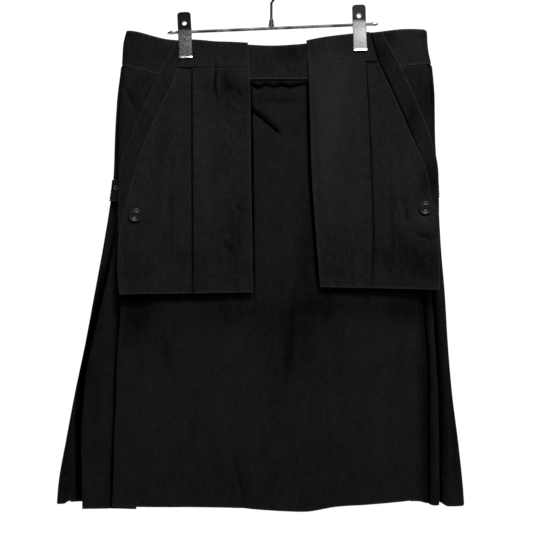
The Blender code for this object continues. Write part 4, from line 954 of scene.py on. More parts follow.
# %% Creases of the panels
LEFT_PANEL_CREASES = (
    (((-79, 40), (-78.5, 62), (-79.5, 80), (-77, 104)), 2.0, -4.2, 0.0),     # the dimple's edge
    (((-70, 58), (-60, 84), (-44, 94)), 9.0, -2.6, 0.0),
    (((-66, 20), (-66, 48), (-64, 60)), 3.0, -2.0, 0.0),
    (((-72, 22), (-72, 56), (-73, 72)), 3.0, 1.6, 0.0),
    (((-88, 50), (-87, 80), (-90, 130)), 6.0, 1.5, 0.0),
    (((-58, 100), (-52, 112), (-42, 120)), 5.0, 1.8, 0.0),
    (((-49, 88), (-44, 94), (-42, 100)), 2.4, -2.6, 0.0),
    (((-72, 122), (-60, 138), (-50, 148)), 3.0, -1.6, 0.6),
    (((-36, 118), (-46, 122), (-54, 124)), 2.6, -1.8, 0.0),
    (((-37, 134), (-44, 138), (-50, 137)), 2.2, -1.3, 0.0),
    (((-141.5, 150), (-141.5, 240), (-140, 330), (-141, 380)), 2.4, -1.9, 0.5),
    (((-158, 110), (-153, 200), (-156, 300)), 8.0, 1.2, 0.0),
    (((-100, 130), (-97, 200), (-99, 270)), 9.0, 2.2, 0.0),
    (((-86, 240), (-84, 300), (-88, 380)), 4.0, -0.9, 0.0),
    (((-60, 240), (-56, 290), (-60, 350)), 10.0, -1.9, 0.0),
    (((-48, 250), (-43, 258), (-34, 262)), 3.0, -2.0, 0.0),
    (((-52, 268), (-44, 274), (-36, 272)), 4.0, 1.2, 0.0),
    (((-70, 300), (-52, 316), (-38, 320)), 4.0, -1.3, 0.0),
    (((-39.4, 60), (-38.6, 150), (-37.4, 260), (-35.5, 365)), 1.7, -1.1, 0.0),   # stitched edge
    (((-110, 130), (-104, 138), (-96, 134)), 4.0, 1.1, 0.0),
    (((-128, 96), (-122, 140), (-126, 200)), 5.0, -0.9, 0.0),
    (((-190, 300), (-170, 330), (-160, 372)), 7.0, 1.3, 0.0),
    (((-208, 290), (-205, 330), (-208, 372)), 4.0, -1.4, 0.0),
    (((-176, 180), (-170, 196), (-166, 226)), 3.0, -1.2, 0.5),
    (((-152, 74), (-147, 82), (-148, 94)), 3.0, -2.0, 0.0),                  # on the facing
)
RIGHT_PANEL_CREASES = (
    (((163, 160), (166, 220), (169, 290), (171, 362)), 2.2, -2.2, 0.5),
    (((158, 170), (161, 240), (163, 330)), 5.0, 1.3, 0.0),
    (((176, 290), (179, 320), (180, 366)), 2.4, -1.8, 0.0),
    (((188, 250), (190, 262), (189, 276)), 3.4, -2.4, 0.0),
    (((196, 272), (214, 277), (230, 274)), 10.0, 4.0, 0.0),       # puffed under the button
    (((196, 286), (212, 294), (224, 296), (238, 294)), 2.6, -3.4, 0.0),
    (((176, 240), (186, 246), (198, 243)), 3.4, -1.8, 0.0),
    (((86, 38), (100, 46), (114, 40)), 4.0, -1.5, 0.0),
    (((66, 36), (78, 52), (92, 60)), 4.0, 1.5, 0.0),
    (((60, 90), (66, 150), (72, 230)), 7.0, 1.5, 0.0),
    (((92, 80), (96, 150), (92, 220)), 9.0, -1.2, 0.0),
    (((116, 110), (118, 200), (121, 280)), 7.0, 1.2, 0.0),
    (((150, 100), (151, 150), (148, 210)), 5.0, -1.2, 0.0),
    (((70, 318), (82, 322), (94, 319)), 4.0, -1.9, 0.0),
    (((84, 352), (96, 346), (104, 352)), 4.0, -1.9, 0.0),
    (((206, 320), (210, 345), (208, 368)), 4.0, -1.6, 0.0),
    (((226, 300), (228, 330), (226, 366)), 4.0, 1.5, 0.0),
    (((58, 60), (62, 150), (66, 250), (75, 358)), 1.7, -0.9, 0.0),
    (((176, 76), (184, 92), (186, 110)), 3.4, -2.4, 0.0),                    # on the facing
    (((196, 98), (202, 120), (208, 140)), 3.4, -1.8, 0.0),
)


def beside_pleat(panel):
    """The gap next to a panel's pleat."""
    points = [(panel.pleat(drop) + panel.out * 2.2, drop) for drop in
              np.linspace(panel.band_end + 4, 366, 9)]
    return (points, 1.5, -2.0, 0.0)


PANEL_BUMPS = {
    "left": relief(LEFT_PANEL_CREASES + (beside_pleat(PANELS["left"]),), seed=21, fine=0.42),
    "right": relief(RIGHT_PANEL_CREASES + (beside_pleat(PANELS["right"]),), seed=22, fine=0.42)}
# Painted light and shade on the panels, such as the lit puff under the right button and their darker
# lower parts, with some uneven dye.
PANEL_LIGHT_AND_FADE = {
    "left": ((-98, 190, 16, 70, 0.14), (-56, 92, 26, 20, -0.3), (-46, 268, 16, 40, -0.15),
             (-150, 150, 10, 100, -0.1), (-70, 330, 60, 60, -0.08), (-196, 330, 22, 40, -0.1),
             (-122, 340, 130, 60, -0.1), (-160, 60, 20, 60, 0.08), (-66, 180, 30, 40, -0.05)),
    "right": ((76, 150, 30, 120, 0.24), (100, 90, 30, 50, 0.12), (150, 320, 110, 60, -0.16),
              (212, 272, 20, 16, 0.3), (205, 330, 40, 30, -0.25), (196, 150, 12, 70, 0.1),
              (84, 320, 30, 60, -0.05), (196, 124, 10, 30, -0.4), (156, 46, 10, 22, -0.3),
              (222, 212, 14, 24, -0.4), (122, 260, 26, 80, 0.06))}
# Painted shade: dark lines next to each panel's pleat, and on the right facing next to the mouth.
PANEL_SHADE_LINES = {word: (([(panel.pleat(drop) + panel.out * 1.5, drop) for drop in
                       np.linspace(panel.band_end - 20, 390, 9)], 0.9, 1.7, 0.0),)
              for word, panel in PANELS.items()}
right_mouth = [(PANELS["right"].mouth(drop) + 1.6, drop) for drop in np.linspace(-10, 180, 9)]
MOUTH_SHADE_LINES = {"left": (), "right": ((right_mouth, 1.7, 1.3, 0.0),)}

# %% Laying the panels
PANEL_ACROSS, PANEL_DOWN = 1.4, 3.4     # most of a panel's creases run down it
PANEL_HEM_BEND = 60.0          # rows bend to the hem's line over this height
BAND_CREASE_PART = 0.35        # the doubled top band takes this much of a crease


def panel_grid(panel, bumps):
    """Points of the panel with its pleat, from under the top band to its hem."""
    out, bottom = panel.out, panel.hem.values[1]
    drops = np.concatenate([np.arange(panel.band_end + panel.seam_gap, bottom - 6, PANEL_DOWN),
                            np.linspace(bottom - 6, bottom, 4)])

    def path_at(drop):
        inner, edge = panel.inner(drop), panel.pleat(drop)
        outer = panel.mouth(drop)
        fold = pressed_fold(edge, 0.0, FLAP_PITCH, out, FLAP_TUCK)
        path = [(inner, 0.0)] + fold
        path += [(edge - out * FLAP_TUCK, FLAP_PITCH),
                 (edge - out * (FLAP_TUCK + 0.4), 1.5 * FLAP_PITCH),
                 (edge - out * FLAP_TUCK, 2 * FLAP_PITCH), (edge, 2 * FLAP_PITCH),
                 (edge + out * 8.0, 1.9 * FLAP_PITCH), (outer, 0.6 * FLAP_PITCH)]
        return path

    counts = stretch_counts(path_at(300.0), PANEL_ACROSS, PANEL_ACROSS, None)
    rows = []
    for drop in drops:
        row = []
        for x, depth in spread(path_at(float(drop)), counts):
            real = float(drop)
            if drop > bottom - PANEL_HEM_BEND:
                real += (panel.hem(x) - bottom) * (drop - bottom + PANEL_HEM_BEND) / PANEL_HEM_BEND
            y = front_face(x, real) - panel_stand(panel, x, real) + depth + FLAP_WALL / 2
            row.append((x, y, real))
        rows.append(row)
    grid = np.array(rows)
    near_top = smoothstep(panel.band_end, panel.band_end + 16, grid[..., 2])
    grid[..., 1] -= bumps(grid[..., 0], grid[..., 2]) * (BAND_CREASE_PART + 0.65 * near_top)
    return grid


PANEL_BAND_WALL, BAND_COLUMNS = 1.2, 52
BAND_SHARES = (-0.02, 0.0, 0.03, 0.08, 0.16, 0.26, 0.36, 0.46, 0.56, 0.66, 0.76, 0.85, 0.92, 0.97, 1.0)
ROLL_OVER, ROLL_SHARE = 1.3, 0.03      # it rolls over the waistband's edge by this, within this share


def panel_band_grid(panel, bumps):
    """The panel's top band, from the waistband's top edge, where it folds over."""
    rows = []
    for share in BAND_SHARES:
        row = []
        for step in range(BAND_COLUMNS + 1):
            drop = panel.band_end * max(share, 0.0)
            for _ in range(4):               # the slanted mouth meets the curved top
                inner, mouth = panel.inner(drop), panel.mouth(drop)
                x = inner + (mouth - inner) * step / BAND_COLUMNS
                top = panel.top(x)
                drop = top + (panel.band_end - GAP - top) * max(share, 0.0)
            stand = GAP + PANEL_BAND_WALL
            stand += (FLAP_START - GAP - PANEL_BAND_WALL) * max(0.0, share * 3 - 2)
            over = ROLL_OVER * max(0.0, ROLL_SHARE - share) / 0.05
            y = front_face(x, drop) - stand + PANEL_BAND_WALL / 2 + over
            row.append((x, y, drop - 0.4 * (share < 0)))
        rows.append(row)
    grid = np.array(rows)
    grid[..., 1] -= bumps(grid[..., 0], grid[..., 2]) * BAND_CREASE_PART
    return grid


FACING_WALL, FACING_STEPS = 0.9, 12
LAP_UNDER, LAP_EASE = 6.0, 12.0        # how far it goes in under the panel, and over what height
JOIN_START, JOIN_END = 80.0, 200.0     # between these it leaves the skirt and hangs with the panel


def facing_grid(panel, bumps):
    """The facing behind the pocket's mouth, which goes on down as the panel's outer corner."""
    out = panel.out
    top = panel.top(panel.mouth(20.0)) + 1.0
    drops = np.concatenate([np.arange(top, panel.seam_end, PANEL_DOWN), [panel.seam_end]])
    rows = []
    for drop in drops:
        drop = float(drop)
        mouth, edge = panel.mouth(drop), panel.strip(drop)
        under = min(max((drop - panel.band_end) / LAP_EASE, 0.0), 1.0)
        start = mouth - out * (LAP_UNDER * under - 2 * GAP * (1.0 - under))
        joined = float(smoothstep(JOIN_START, JOIN_END, drop))
        row = []
        for step in range(FACING_STEPS + 1):
            x = start + (edge - start) * step / FACING_STEPS
            lying = STRIP_STAND - BODY_WALL / 2
            hanging = panel_stand(panel, x, drop) - 0.6 * FLAP_PITCH - FLAP_WALL - 0.75
            stand = lying + (hanging - lying) * joined
            row.append((x, front_face(x, drop) - stand, drop))
        rows.append(row)
    grid = np.array(rows)
    grid[..., 1] -= bumps(grid[..., 0], grid[..., 2]) * smoothstep(60, JOIN_END, grid[..., 2]) * 0.9
    return grid


for word, panel in PANELS.items():
    bumps = PANEL_BUMPS[word]
    common = {"flip": panel.out < 0, "bumps": bumps, "light_and_fade_patches": PANEL_LIGHT_AND_FADE[word]}
    lay_cloth(f"pocket_panel_{word}", panel_grid(panel, bumps), FLAP_WALL, TWILL_PAINTED_LIGHTER,
              edges=(0.0, 1.0, 0.4, 0.6), folds=0.0, painted_shade_lines=PANEL_SHADE_LINES[word], **common)
    lay_cloth(f"panel_band_{word}", panel_band_grid(panel, bumps), PANEL_BAND_WALL, TWILL_PAINTED_LIGHTER,
              edges=(0.5, 0.0, 0.4, 0.0), **common)
    lay_cloth(f"pocket_strip_{word}", facing_grid(panel, bumps), FACING_WALL, TWILL,
              edges=(0.0, 0.0, 0.0, 0.8), painted_shade_lines=MOUTH_SHADE_LINES[word], **common)

# %% [markdown]
# ## Side tabs
# A short strap of doubled cloth is sewn round each side, with a metal eyelet and three rows of
# stitching that leave ribs. It follows the tube's side, so it uses the same sections.

# %% The tabs
TABS = {"left": SimpleNamespace(out=-1, top=213.6, start=-205.0, ring=(-216.6, 224.8)),
        "right": SimpleNamespace(out=1, top=208.0, start=214.0, ring=(222.0, 219.0))}
TAB_HEIGHT, TAB_WALL, TAB_END = 30.0, 2.2, 3.0        # the end stops short of the side seam
RIB_HEIGHT, RIB_PITCH, RIBS_FROM, RIBS_TO = 0.35, 0.15, 0.5, 0.95      # all but the height are shares
TAB_ROWS, TAB_COLUMNS = 25, 18


def tab_grid(tab):
    """Points of one tab: level rows, with ribs in its lower half."""
    rows = []
    for share in np.linspace(0.0, 1.0, TAB_ROWS):
        drop = tab.top + TAB_HEIGHT * float(share)
        section = section_at(round(level_of(drop, tab.start), 2))
        start = section.length_to(tab.start)
        end = tab.out * (section.runs[tab.out].side_length - TAB_END)
        rib = RIB_HEIGHT * math.sin(2 * math.pi * (share - RIBS_FROM) / RIB_PITCH)
        if not RIBS_FROM < share < RIBS_TO:
            rib = 0.0
        row = []
        for step in range(TAB_COLUMNS + 1):
            plan = section.place(start + (end - start) * step / TAB_COLUMNS,
                                 -2 * GAP - TAB_WALL / 2 - rib)
            row.append((plan.x, plan.y, drop))
        rows.append(row)
    return np.array(rows)


for word, tab in TABS.items():
    lay_cloth(f"side_tab_{word}", tab_grid(tab), TAB_WALL, TWILL_PAINTED_LIGHTER, flip=tab.out < 0, bevel=0.6)


def sheet_area(mesh):
    """Area of the laid sheet, before it has a thickness."""
    return sum(face.area for face in mesh.polygons)


def declare_cloth(made):
    """Attach a finished piece to its body, hide the solid it stands for, and say its name, cut size and
    area.
    """
    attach(made, BODY)
    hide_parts(made.name.removeprefix("cloth_"))
    uv = np.empty(len(made.data.loops) * 2, np.float32)
    made.data.uv_layers[CLOTH_UV].data.foreach_get("uv", uv)
    width, length = np.ptp(uv[0::2]) * MM, np.ptp(uv[1::2]) * MM
    area = min(sheet_area(made.data), width * length)
    return f"{made.name} {width * 1000:.0f} x {length * 1000:.0f} mm, {area:.3f} m2"


for made in made_pieces:
    print(declare_cloth(made))

# %% [markdown]
# ## Stitching
# Topstitching is the only ornament of this kilt: a single row near each hem and pocket mouth, a
# double row under the panels' top band, short bars where a pocket mouth ends. One stitch is a small
# pad of thread, about 3 mm long. Geometry Nodes lay it along each line at an even pitch and turn it
# to the line. Each line is first dropped on the finished cloth with rays, so that it follows every
# fold, and it is cut where it would jump from one layer to another.

# %% Rays on the finished cloth
bpy.context.view_layer.update()
evaluated = bpy.context.evaluated_depsgraph_get()
cloth_trees = [BVHTree.FromObject(made, evaluated) for made in made_pieces]
RAY_START = 0.3


def on_cloth(x, drop, facing=-1):
    """The outermost cloth at this place, seen from the front (-1) or the back (1)."""
    start = to_world(x, 0.0, drop) + Vector((0.0, facing * RAY_START, 0.0))
    best = (None, None, 1e9)
    for tree in cloth_trees:
        point, normal, _, away = tree.ray_cast(start, Vector((0.0, -facing, 0.0)))
        if point is not None and away < best[2]:
            best = (point, normal, away)
    return best[:2]


# %% Where the stitching runs, in X and drop
STITCH_RISE, JUMP, SAMPLE = 0.15, 1.6, 2.0     # thread over the cloth, a layer's step, a ray's step
HEM_STITCH, SEAM_STITCH, TOP_STITCH = 34.0, 1.7, 2.4       # each row's distance from its edge
ROW_STEP = 6.0                 # between the points that a row is given by


def beside(line, low, high, offset):
    """A row that keeps this distance from an upright edge."""
    count = max(2, round((high - low) / ROW_STEP))
    return [(line(low + (high - low) * step / count) + offset, low + (high - low) * step / count)
            for step in range(count + 1)]


def level_row(line, low, high, rise):
    """A row this far above an edge that is given as drop against X."""
    count = max(2, round((high - low) / ROW_STEP))
    return [(low + (high - low) * step / count, line(low + (high - low) * step / count) - rise)
            for step in range(count + 1)]


def bar(x, drop, width, rows, pitch=1.3):
    """A bar tack: short rows close together."""
    return [[(x - width / 2, drop + row * pitch), (x + width / 2, drop + row * pitch + 0.3)]
            for row in range(rows)]


front_rows = [
    level_row(APRON_HEM, -222, 219, HEM_STITCH), level_row(LEFT_PLEAT_HEM, -270, -232, HEM_STITCH),
    level_row(LEFT_SIDE_HEM, -300, -278, HEM_STITCH), level_row(RIGHT_SIDE_HEM, 240, 269, HEM_STITCH),
    *(level_row(WAIST_SEAM, low, high, SEAM_STITCH) for low, high in ((-212, -158), (-31, 53),
                                                                    (184, 225))),
    *(level_row(WAIST_TOP, low, high, TOP_STITCH) for low, high in ((-204, -136), (-31, 46),
                                                                   (158, 219))),
]
for word, panel in PANELS.items():
    out, bottom = panel.out, panel.hem.values[1]
    mouth_end = STRIP_END + (2.0 if out < 0 else 1.0)
    hem_rise = 5.0 if out < 0 else 9.4
    low, high = sorted((panel.inner(bottom) + out * 1.5, panel.outer(bottom) - out * 1.5))
    front_rows += [
        level_row(panel.hem, low, high, hem_rise),
        beside(panel.inner, panel.band_end + 3, bottom - 3, out * 8.6),
        beside(panel.mouth, panel.band_end + 2, mouth_end, -out * 1.6),
        beside(panel.mouth, mouth_end - 76, mouth_end, -out * 9.4),
        beside(panel.strip, 24, 200, -out * 1.7),
        beside(panel.mouth, mouth_end + 4, panel.seam_end - 6, -out * 1.6),
    ]
    for drop in (panel.band_end - 2.2, panel.band_end + 1.9):
        low, high = sorted((panel.inner(drop) + out * 1.0, panel.strip(drop) - out * 2.0))
        front_rows.append([(low + (high - low) * step / 24, drop) for step in range(25)])
    front_rows += bar(panel.mouth(mouth_end) - out * 5.0, mouth_end, 9.0, 2)
    front_rows.append(beside(panel.mouth, mouth_end + 4, mouth_end + 44, -out * 7.5))
back_rows = [level_row(BACK_HEM, -300, 269, HEM_STITCH),
             level_row(WAIST_SEAM, -208, 222, SEAM_STITCH),
             level_row(WAIST_TOP, -202, 217, TOP_STITCH)]


def dropped_rows(rows, facing):
    """The rows laid on the cloth, cut at every jump between layers."""
    runs = []
    for row in rows:
        run = []
        for (x0, d0), (x1, d1) in zip(row, row[1:]):
            steps = max(1, round(math.dist((x0, d0), (x1, d1)) / SAMPLE))
            for step in range(steps):
                share = step / steps
                point, normal = on_cloth(x0 + (x1 - x0) * share, d0 + (d1 - d0) * share, facing)
                if point is None or run and abs(point.y - run[-1].y) > JUMP * MM:
                    runs.append(run)
                    run = []
                if point is not None:
                    run.append(point + normal * STITCH_RISE * MM)
        runs.append(run)
    return [run for run in runs if len(run) > 2]


stitch_runs = dropped_rows(front_rows, -1) + dropped_rows(back_rows, 1)
print("stitched runs:", len(stitch_runs))

# %% One stitch, repeated along the runs by Geometry Nodes
STITCH_PITCH, STITCH_LONG, THREAD = 3.3, 2.7, 0.32     # thread is a radius; drawn a little thick
STITCH_SEED = 5


def stitch_tree(finish):
    """Curve in, rows of stitches out."""
    tree = bpy.data.node_groups.new("topstitching", "GeometryNodeTree")
    sockets = {"Rows": "NodeSocketGeometry", "Pitch": "NodeSocketFloat",
               "Stitch length": "NodeSocketFloat", "Thread radius": "NodeSocketFloat",
               "Seed": "NodeSocketInt"}
    for name, kind in sockets.items():
        tree.interface.new_socket(name, in_out="INPUT", socket_type=kind)
    tree.interface.new_socket("Stitches", in_out="OUTPUT", socket_type="NodeSocketGeometry")
    given = node(tree, "NodeGroupInput").outputs
    path = node(tree, "GeometryNodeMeshToCurve", {"Mesh": given["Rows"]}).outputs[0]
    even = node(tree, "GeometryNodeResampleCurve", {"Curve": path, "Length": given["Pitch"]},
                mode="LENGTH")
    pad = node(tree, "GeometryNodeMeshUVSphere", {"Segments": 6, "Rings": 4, "Radius": 1.0})
    turn = node(tree, "FunctionNodeAlignRotationToVector", {
        "Vector": node(tree, "GeometryNodeInputTangent").outputs[0]}, axis="Z")
    size = node(tree, "ShaderNodeCombineXYZ", {"X": given["Thread radius"],
                                              "Y": given["Thread radius"],
                                              "Z": given["Stitch length"]})
    uneven = node(tree, "FunctionNodeRandomValue", {2: 0.82, 3: 1.12, "Seed": given["Seed"]},
                  data_type="FLOAT")
    scaled = node(tree, "ShaderNodeVectorMath", {0: size.outputs[0], "Scale": uneven.outputs[1]},
                  operation="SCALE")
    rows = node(tree, "GeometryNodeInstanceOnPoints", {
        "Points": even.outputs[0], "Instance": pad.outputs[0], "Rotation": turn.outputs[0],
        "Scale": scaled.outputs[0]})
    real = node(tree, "GeometryNodeRealizeInstances", {"Geometry": rows.outputs[0]})
    finished = node(tree, "GeometryNodeSetMaterial", {"Geometry": real.outputs[0],
                                                     "Material": finish})
    node(tree, "NodeGroupOutput", {0: finished.outputs[0]})
    return tree


def stitched(name, runs, finish):
    """A mesh object with a stitch at every pitch along the runs."""
    mesh = bpy.data.meshes.new(name)
    points, edges = [], []
    for run in runs:
        edges += [(len(points) + step, len(points) + step + 1) for step in range(len(run) - 1)]
        points += [tuple(point) for point in run]
    mesh.from_pydata(points, edges, [])
    made = bpy.data.objects.new(name, mesh)
    bpy.context.scene.collection.objects.link(made)
    modifier = made.modifiers.new("topstitching", "NODES")
    tree = stitch_tree(finish)
    modifier.node_group = tree
    wanted = {"Pitch": STITCH_PITCH * MM, "Stitch length": STITCH_LONG / 2 * MM,
              "Thread radius": THREAD * MM, "Seed": STITCH_SEED}
    for item in tree.interface.items_tree:
        if item.in_out == "INPUT" and item.name in wanted:
            modifier[item.identifier] = wanted[item.name]
    return as_plain_mesh(made)


def as_plain_mesh(made):
    """Replace an object's modifiers by the mesh that they give."""
    bpy.context.view_layer.update()
    plain = bpy.data.meshes.new_from_object(made.evaluated_get(
        bpy.context.evaluated_depsgraph_get()))
    plain.name = made.name
    made.modifiers.clear()
    made.data = plain
    return made


thread_finish, _, thread_shader = new_material("black_polyester_thread")     # a soft, low shine
thread_shader.inputs["Base Color"].default_value = shade("#0C0C0C")
thread_shader.inputs["Roughness"].default_value = 0.6
thread_shader.inputs["Specular IOR Level"].default_value = 0.1
topstitching = stitched("topstitching", stitch_runs, thread_finish)
topstitching.data.shade_smooth()
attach(topstitching, BODY)
print("topstitching faces:", len(topstitching.data.polygons))

# %% [markdown]
# ## Buttons
# A shirt-type button of black polyester resin, turned on a lathe: a raised rim, a dished middle and
# four holes. It is the one glossy thing on the garment, so its outline is spun finely. The thread
# crosses the dish in two pairs of strands.


# %% Turned shapes
def lathe(name, profile, sides=64):
    """Spin a half section, radius against height in mm, into a closed mesh round Z."""
    shape = bmesh.new()
    rings = []
    for radius, height in profile:
        if radius < 1e-6:
            rings.append([shape.verts.new((0, 0, height * MM))])
        else:
            rings.append([shape.verts.new((radius * MM * math.cos(2 * math.pi * step / sides),
                                           radius * MM * math.sin(2 * math.pi * step / sides),
                                           height * MM)) for step in range(sides)])
    for below, above in zip(rings, rings[1:]):
        for step in range(sides):
            after = (step + 1) % sides
            corners = [below[step % len(below)], below[after % len(below)],
                       above[after % len(above)], above[step % len(above)]]
            shape.faces.new(list(dict.fromkeys(corners)))
    bmesh.ops.recalc_face_normals(shape, faces=shape.faces[:])
    mesh = bpy.data.meshes.new(name)
    shape.to_mesh(mesh)
    shape.free()
    return mesh


def rounded(profile, cuts=3):
    """A smooth half section through the given points."""
    line_r = Line(list(enumerate(point[0] for point in profile)))
    line_h = Line(list(enumerate(point[1] for point in profile)))
    count = (len(profile) - 1) * cuts
    return [(line_r(step / cuts), line_h(step / cuts)) for step in range(count + 1)]


def bored(made, cutters):
    """Cut holes with temporary solids and keep the plain result."""
    for cutter in cutters:
        cut = made.modifiers.new("hole", "BOOLEAN")
        cut.object, cut.operation, cut.solver = cutter, "DIFFERENCE", "EXACT"
    as_plain_mesh(made)
    for cutter in cutters:
        bpy.data.objects.remove(cutter)
    return made


def add_piece(name, mesh, finish, matrix=None):
    """An object at the origin whose mesh carries its place."""
    if matrix is not None:
        mesh.transform(matrix)
    mesh.materials.clear()
    mesh.materials.append(finish)
    mesh.shade_smooth()
    made = bpy.data.objects.new(name, mesh)
    bpy.context.scene.collection.objects.link(made)
    return made


def rod_mesh(name, points, radii, sides=16):
    """A round bar through points, with a radius at each; a small last radius rounds its end."""
    shape = bmesh.new()
    aside, rings = None, []
    for index, point in enumerate(points):
        ahead = (points[min(index + 1, len(points) - 1)] - points[max(index - 1, 0)]).normalized()
        if aside is None:
            aside = ahead.orthogonal().normalized()
        aside = (aside - ahead * aside.dot(ahead)).normalized()
        other = ahead.cross(aside)
        rings.append([shape.verts.new(point + (aside * math.cos(2 * math.pi * step / sides) + other
                                               * math.sin(2 * math.pi * step / sides))
                                      * radii[index]) for step in range(sides)])
    for below, above in zip(rings, rings[1:]):
        for step in range(sides):
            after = (step + 1) % sides
            shape.faces.new((below[step], below[after], above[after], above[step]))
    shape.faces.new(rings[0][::-1])
    shape.faces.new(rings[-1])
    bmesh.ops.recalc_face_normals(shape, faces=shape.faces[:])
    mesh = bpy.data.meshes.new(name)
    shape.to_mesh(mesh)
    shape.free()
    return mesh


# %% The two buttons
BUTTON_PROFILE = ((0.0, 1.7), (2.9, 1.7), (3.8, 2.1), (4.7, 2.5), (5.6, 2.2), (6.4, 2.3),
                  (7.2, 3.2), (8.3, 3.6), (9.2, 3.0), (9.5, 1.9), (9.2, 0.9), (8.0, 0.35),
                  (4.0, 0.2), (0.0, 0.2))
HIGHLIGHT_RINGS = ((4.7, 0.5, 0.55), (8.4, 0.8, 1.0))     # painted highlight rings: radius, half width, how much
BUTTONS = {"left": (-190.4, 263.8, 0.0), "right": (215.4, 253.7, 14.0)}
HOLE_SPREAD, HOLE_RADIUS, SHANK = 1.9, 0.85, 0.35
DRILL_REACH, SEAT_RADIUS, SEAT_SHARE = 8.0, 7.0, 0.6   # the seat is averaged round this radius
STRAND_RADIUS, STRAND_APART = 0.3, 0.33
STRAND = ((-1.1, -0.6), (-0.95, 0.5), (-0.5, 0.9), (0.0, 1.0), (0.5, 0.9), (0.95, 0.5), (1.1, -0.6))
resin, resin_tree, resin_shader = new_material("black_polyester_resin")   # polished, with painted highlight rings on its rims
ring_highlight = node(resin_tree, "ShaderNodeAttribute", attribute_name=WEAR_AND_RIM_HIGHLIGHT).outputs["Fac"]
patchy_highlight = node(resin_tree, "ShaderNodeTexNoise", {
    "Vector": node(resin_tree, "ShaderNodeTexCoord").outputs["Object"], "Scale": 400.0}).outputs[0]
patchy_highlight = node(resin_tree, "ShaderNodeMath", {0: ring_highlight, 1: patchy_highlight}, operation="MULTIPLY").outputs[0]
rim = node(resin_tree, "ShaderNodeMix", {0: patchy_highlight, 6: shade("#040404"), 7: shade("#1A1A1A")},
           data_type="RGBA")
resin_tree.links.new(rim.outputs[2], resin_shader.inputs["Base Color"])
resin_shader.inputs["Roughness"].default_value = 0.34
resin_shader.inputs["Specular IOR Level"].default_value = 0.16

for word, (x, drop, tilt) in BUTTONS.items():
    point, _ = on_cloth(x, drop)
    ring = [on_cloth(x + SEAT_RADIUS * math.cos(turn), drop + SEAT_RADIUS * math.sin(turn))
            for turn in (step * math.pi / 4 for step in range(8))]
    outward = sum((normal for _, normal in ring), Vector()).normalized()
    lift = max((spot - point).dot(outward) for spot, _ in ring)
    seat = point + outward * (max(lift, 0.0) * SEAT_SHARE + SHANK * MM)
    frame_turn = outward.to_track_quat("Z", "Y").to_matrix().to_4x4()
    place = Matrix.Translation(seat) @ frame_turn @ Matrix.Rotation(math.radians(tilt), 4, "Z")
    button = add_piece(f"turned_button_{word}", lathe("turned", rounded(BUTTON_PROFILE)), resin, place)
    holes, strands = [], []
    for quarter in range(4):
        turn = math.pi / 4 + quarter * math.pi / 2
        spot = Vector((math.cos(turn), math.sin(turn), 0.0)) * HOLE_SPREAD * MM
        drill = lathe("drill", ((0, -DRILL_REACH), (HOLE_RADIUS, -DRILL_REACH),
                                (HOLE_RADIUS, DRILL_REACH), (0, DRILL_REACH)), 16)
        holes.append(add_piece("drill", drill, resin, place @ Matrix.Translation(spot)))
    bored(button, holes)
    # Painted highlight: the rings of the rim and dish are painted lighter where the light glints on
    # them.
    highlight_shares = []
    for vertex in button.data.vertices:
        local = place.inverted() @ vertex.co / MM
        radius = math.hypot(local.x, local.y)
        highlight_shares.append(max(amount * math.exp(-((radius - at) / width) ** 2) * (local.z > 1.5)
                          for at, width, amount in HIGHLIGHT_RINGS))
    button.data.attributes.new(WEAR_AND_RIM_HIGHLIGHT, "FLOAT", "POINT").data.foreach_set("value", highlight_shares)
    for across in (-1, 1):
        for twin in (-STRAND_APART, STRAND_APART):
            reach = HOLE_SPREAD * math.cos(math.pi / 4)
            side = (across * reach + twin) * MM
            strands.append([place @ Vector((side, reach * share * MM, (1.1 + 1.15 * bow) * MM))
                            for share, bow in STRAND])
    button.data.set_sharp_from_angle(angle=math.radians(45))
    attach(button, BODY)
    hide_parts(f"button_{word}")
    for index, strand in enumerate(strands):
        sewn = add_piece(f"button_thread_{word}_{index}",
                         rod_mesh("strand", strand, [STRAND_RADIUS * MM] * len(strand), 8),
                         thread_finish)
        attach(sewn, BODY)
    print(f"button {word}: {len(button.data.polygons)} faces at {tuple(round(v, 4) for v in seat)}")

# %% [markdown]
# ## Hanger
# A wire hook in a small ferrule, a straight rod, and on it two clips of bent sheet, each two plates
# and a coil spring. All are steel with a thin chromium plate, scuffed in small patches. The two
# clips are copies of one chrome, painted darker on the left as painted shade and paler on the right
# as painted light, and the ears at their tops are darker. The shapes are swept, spun and lofted
# along the same rows as the imported solids.


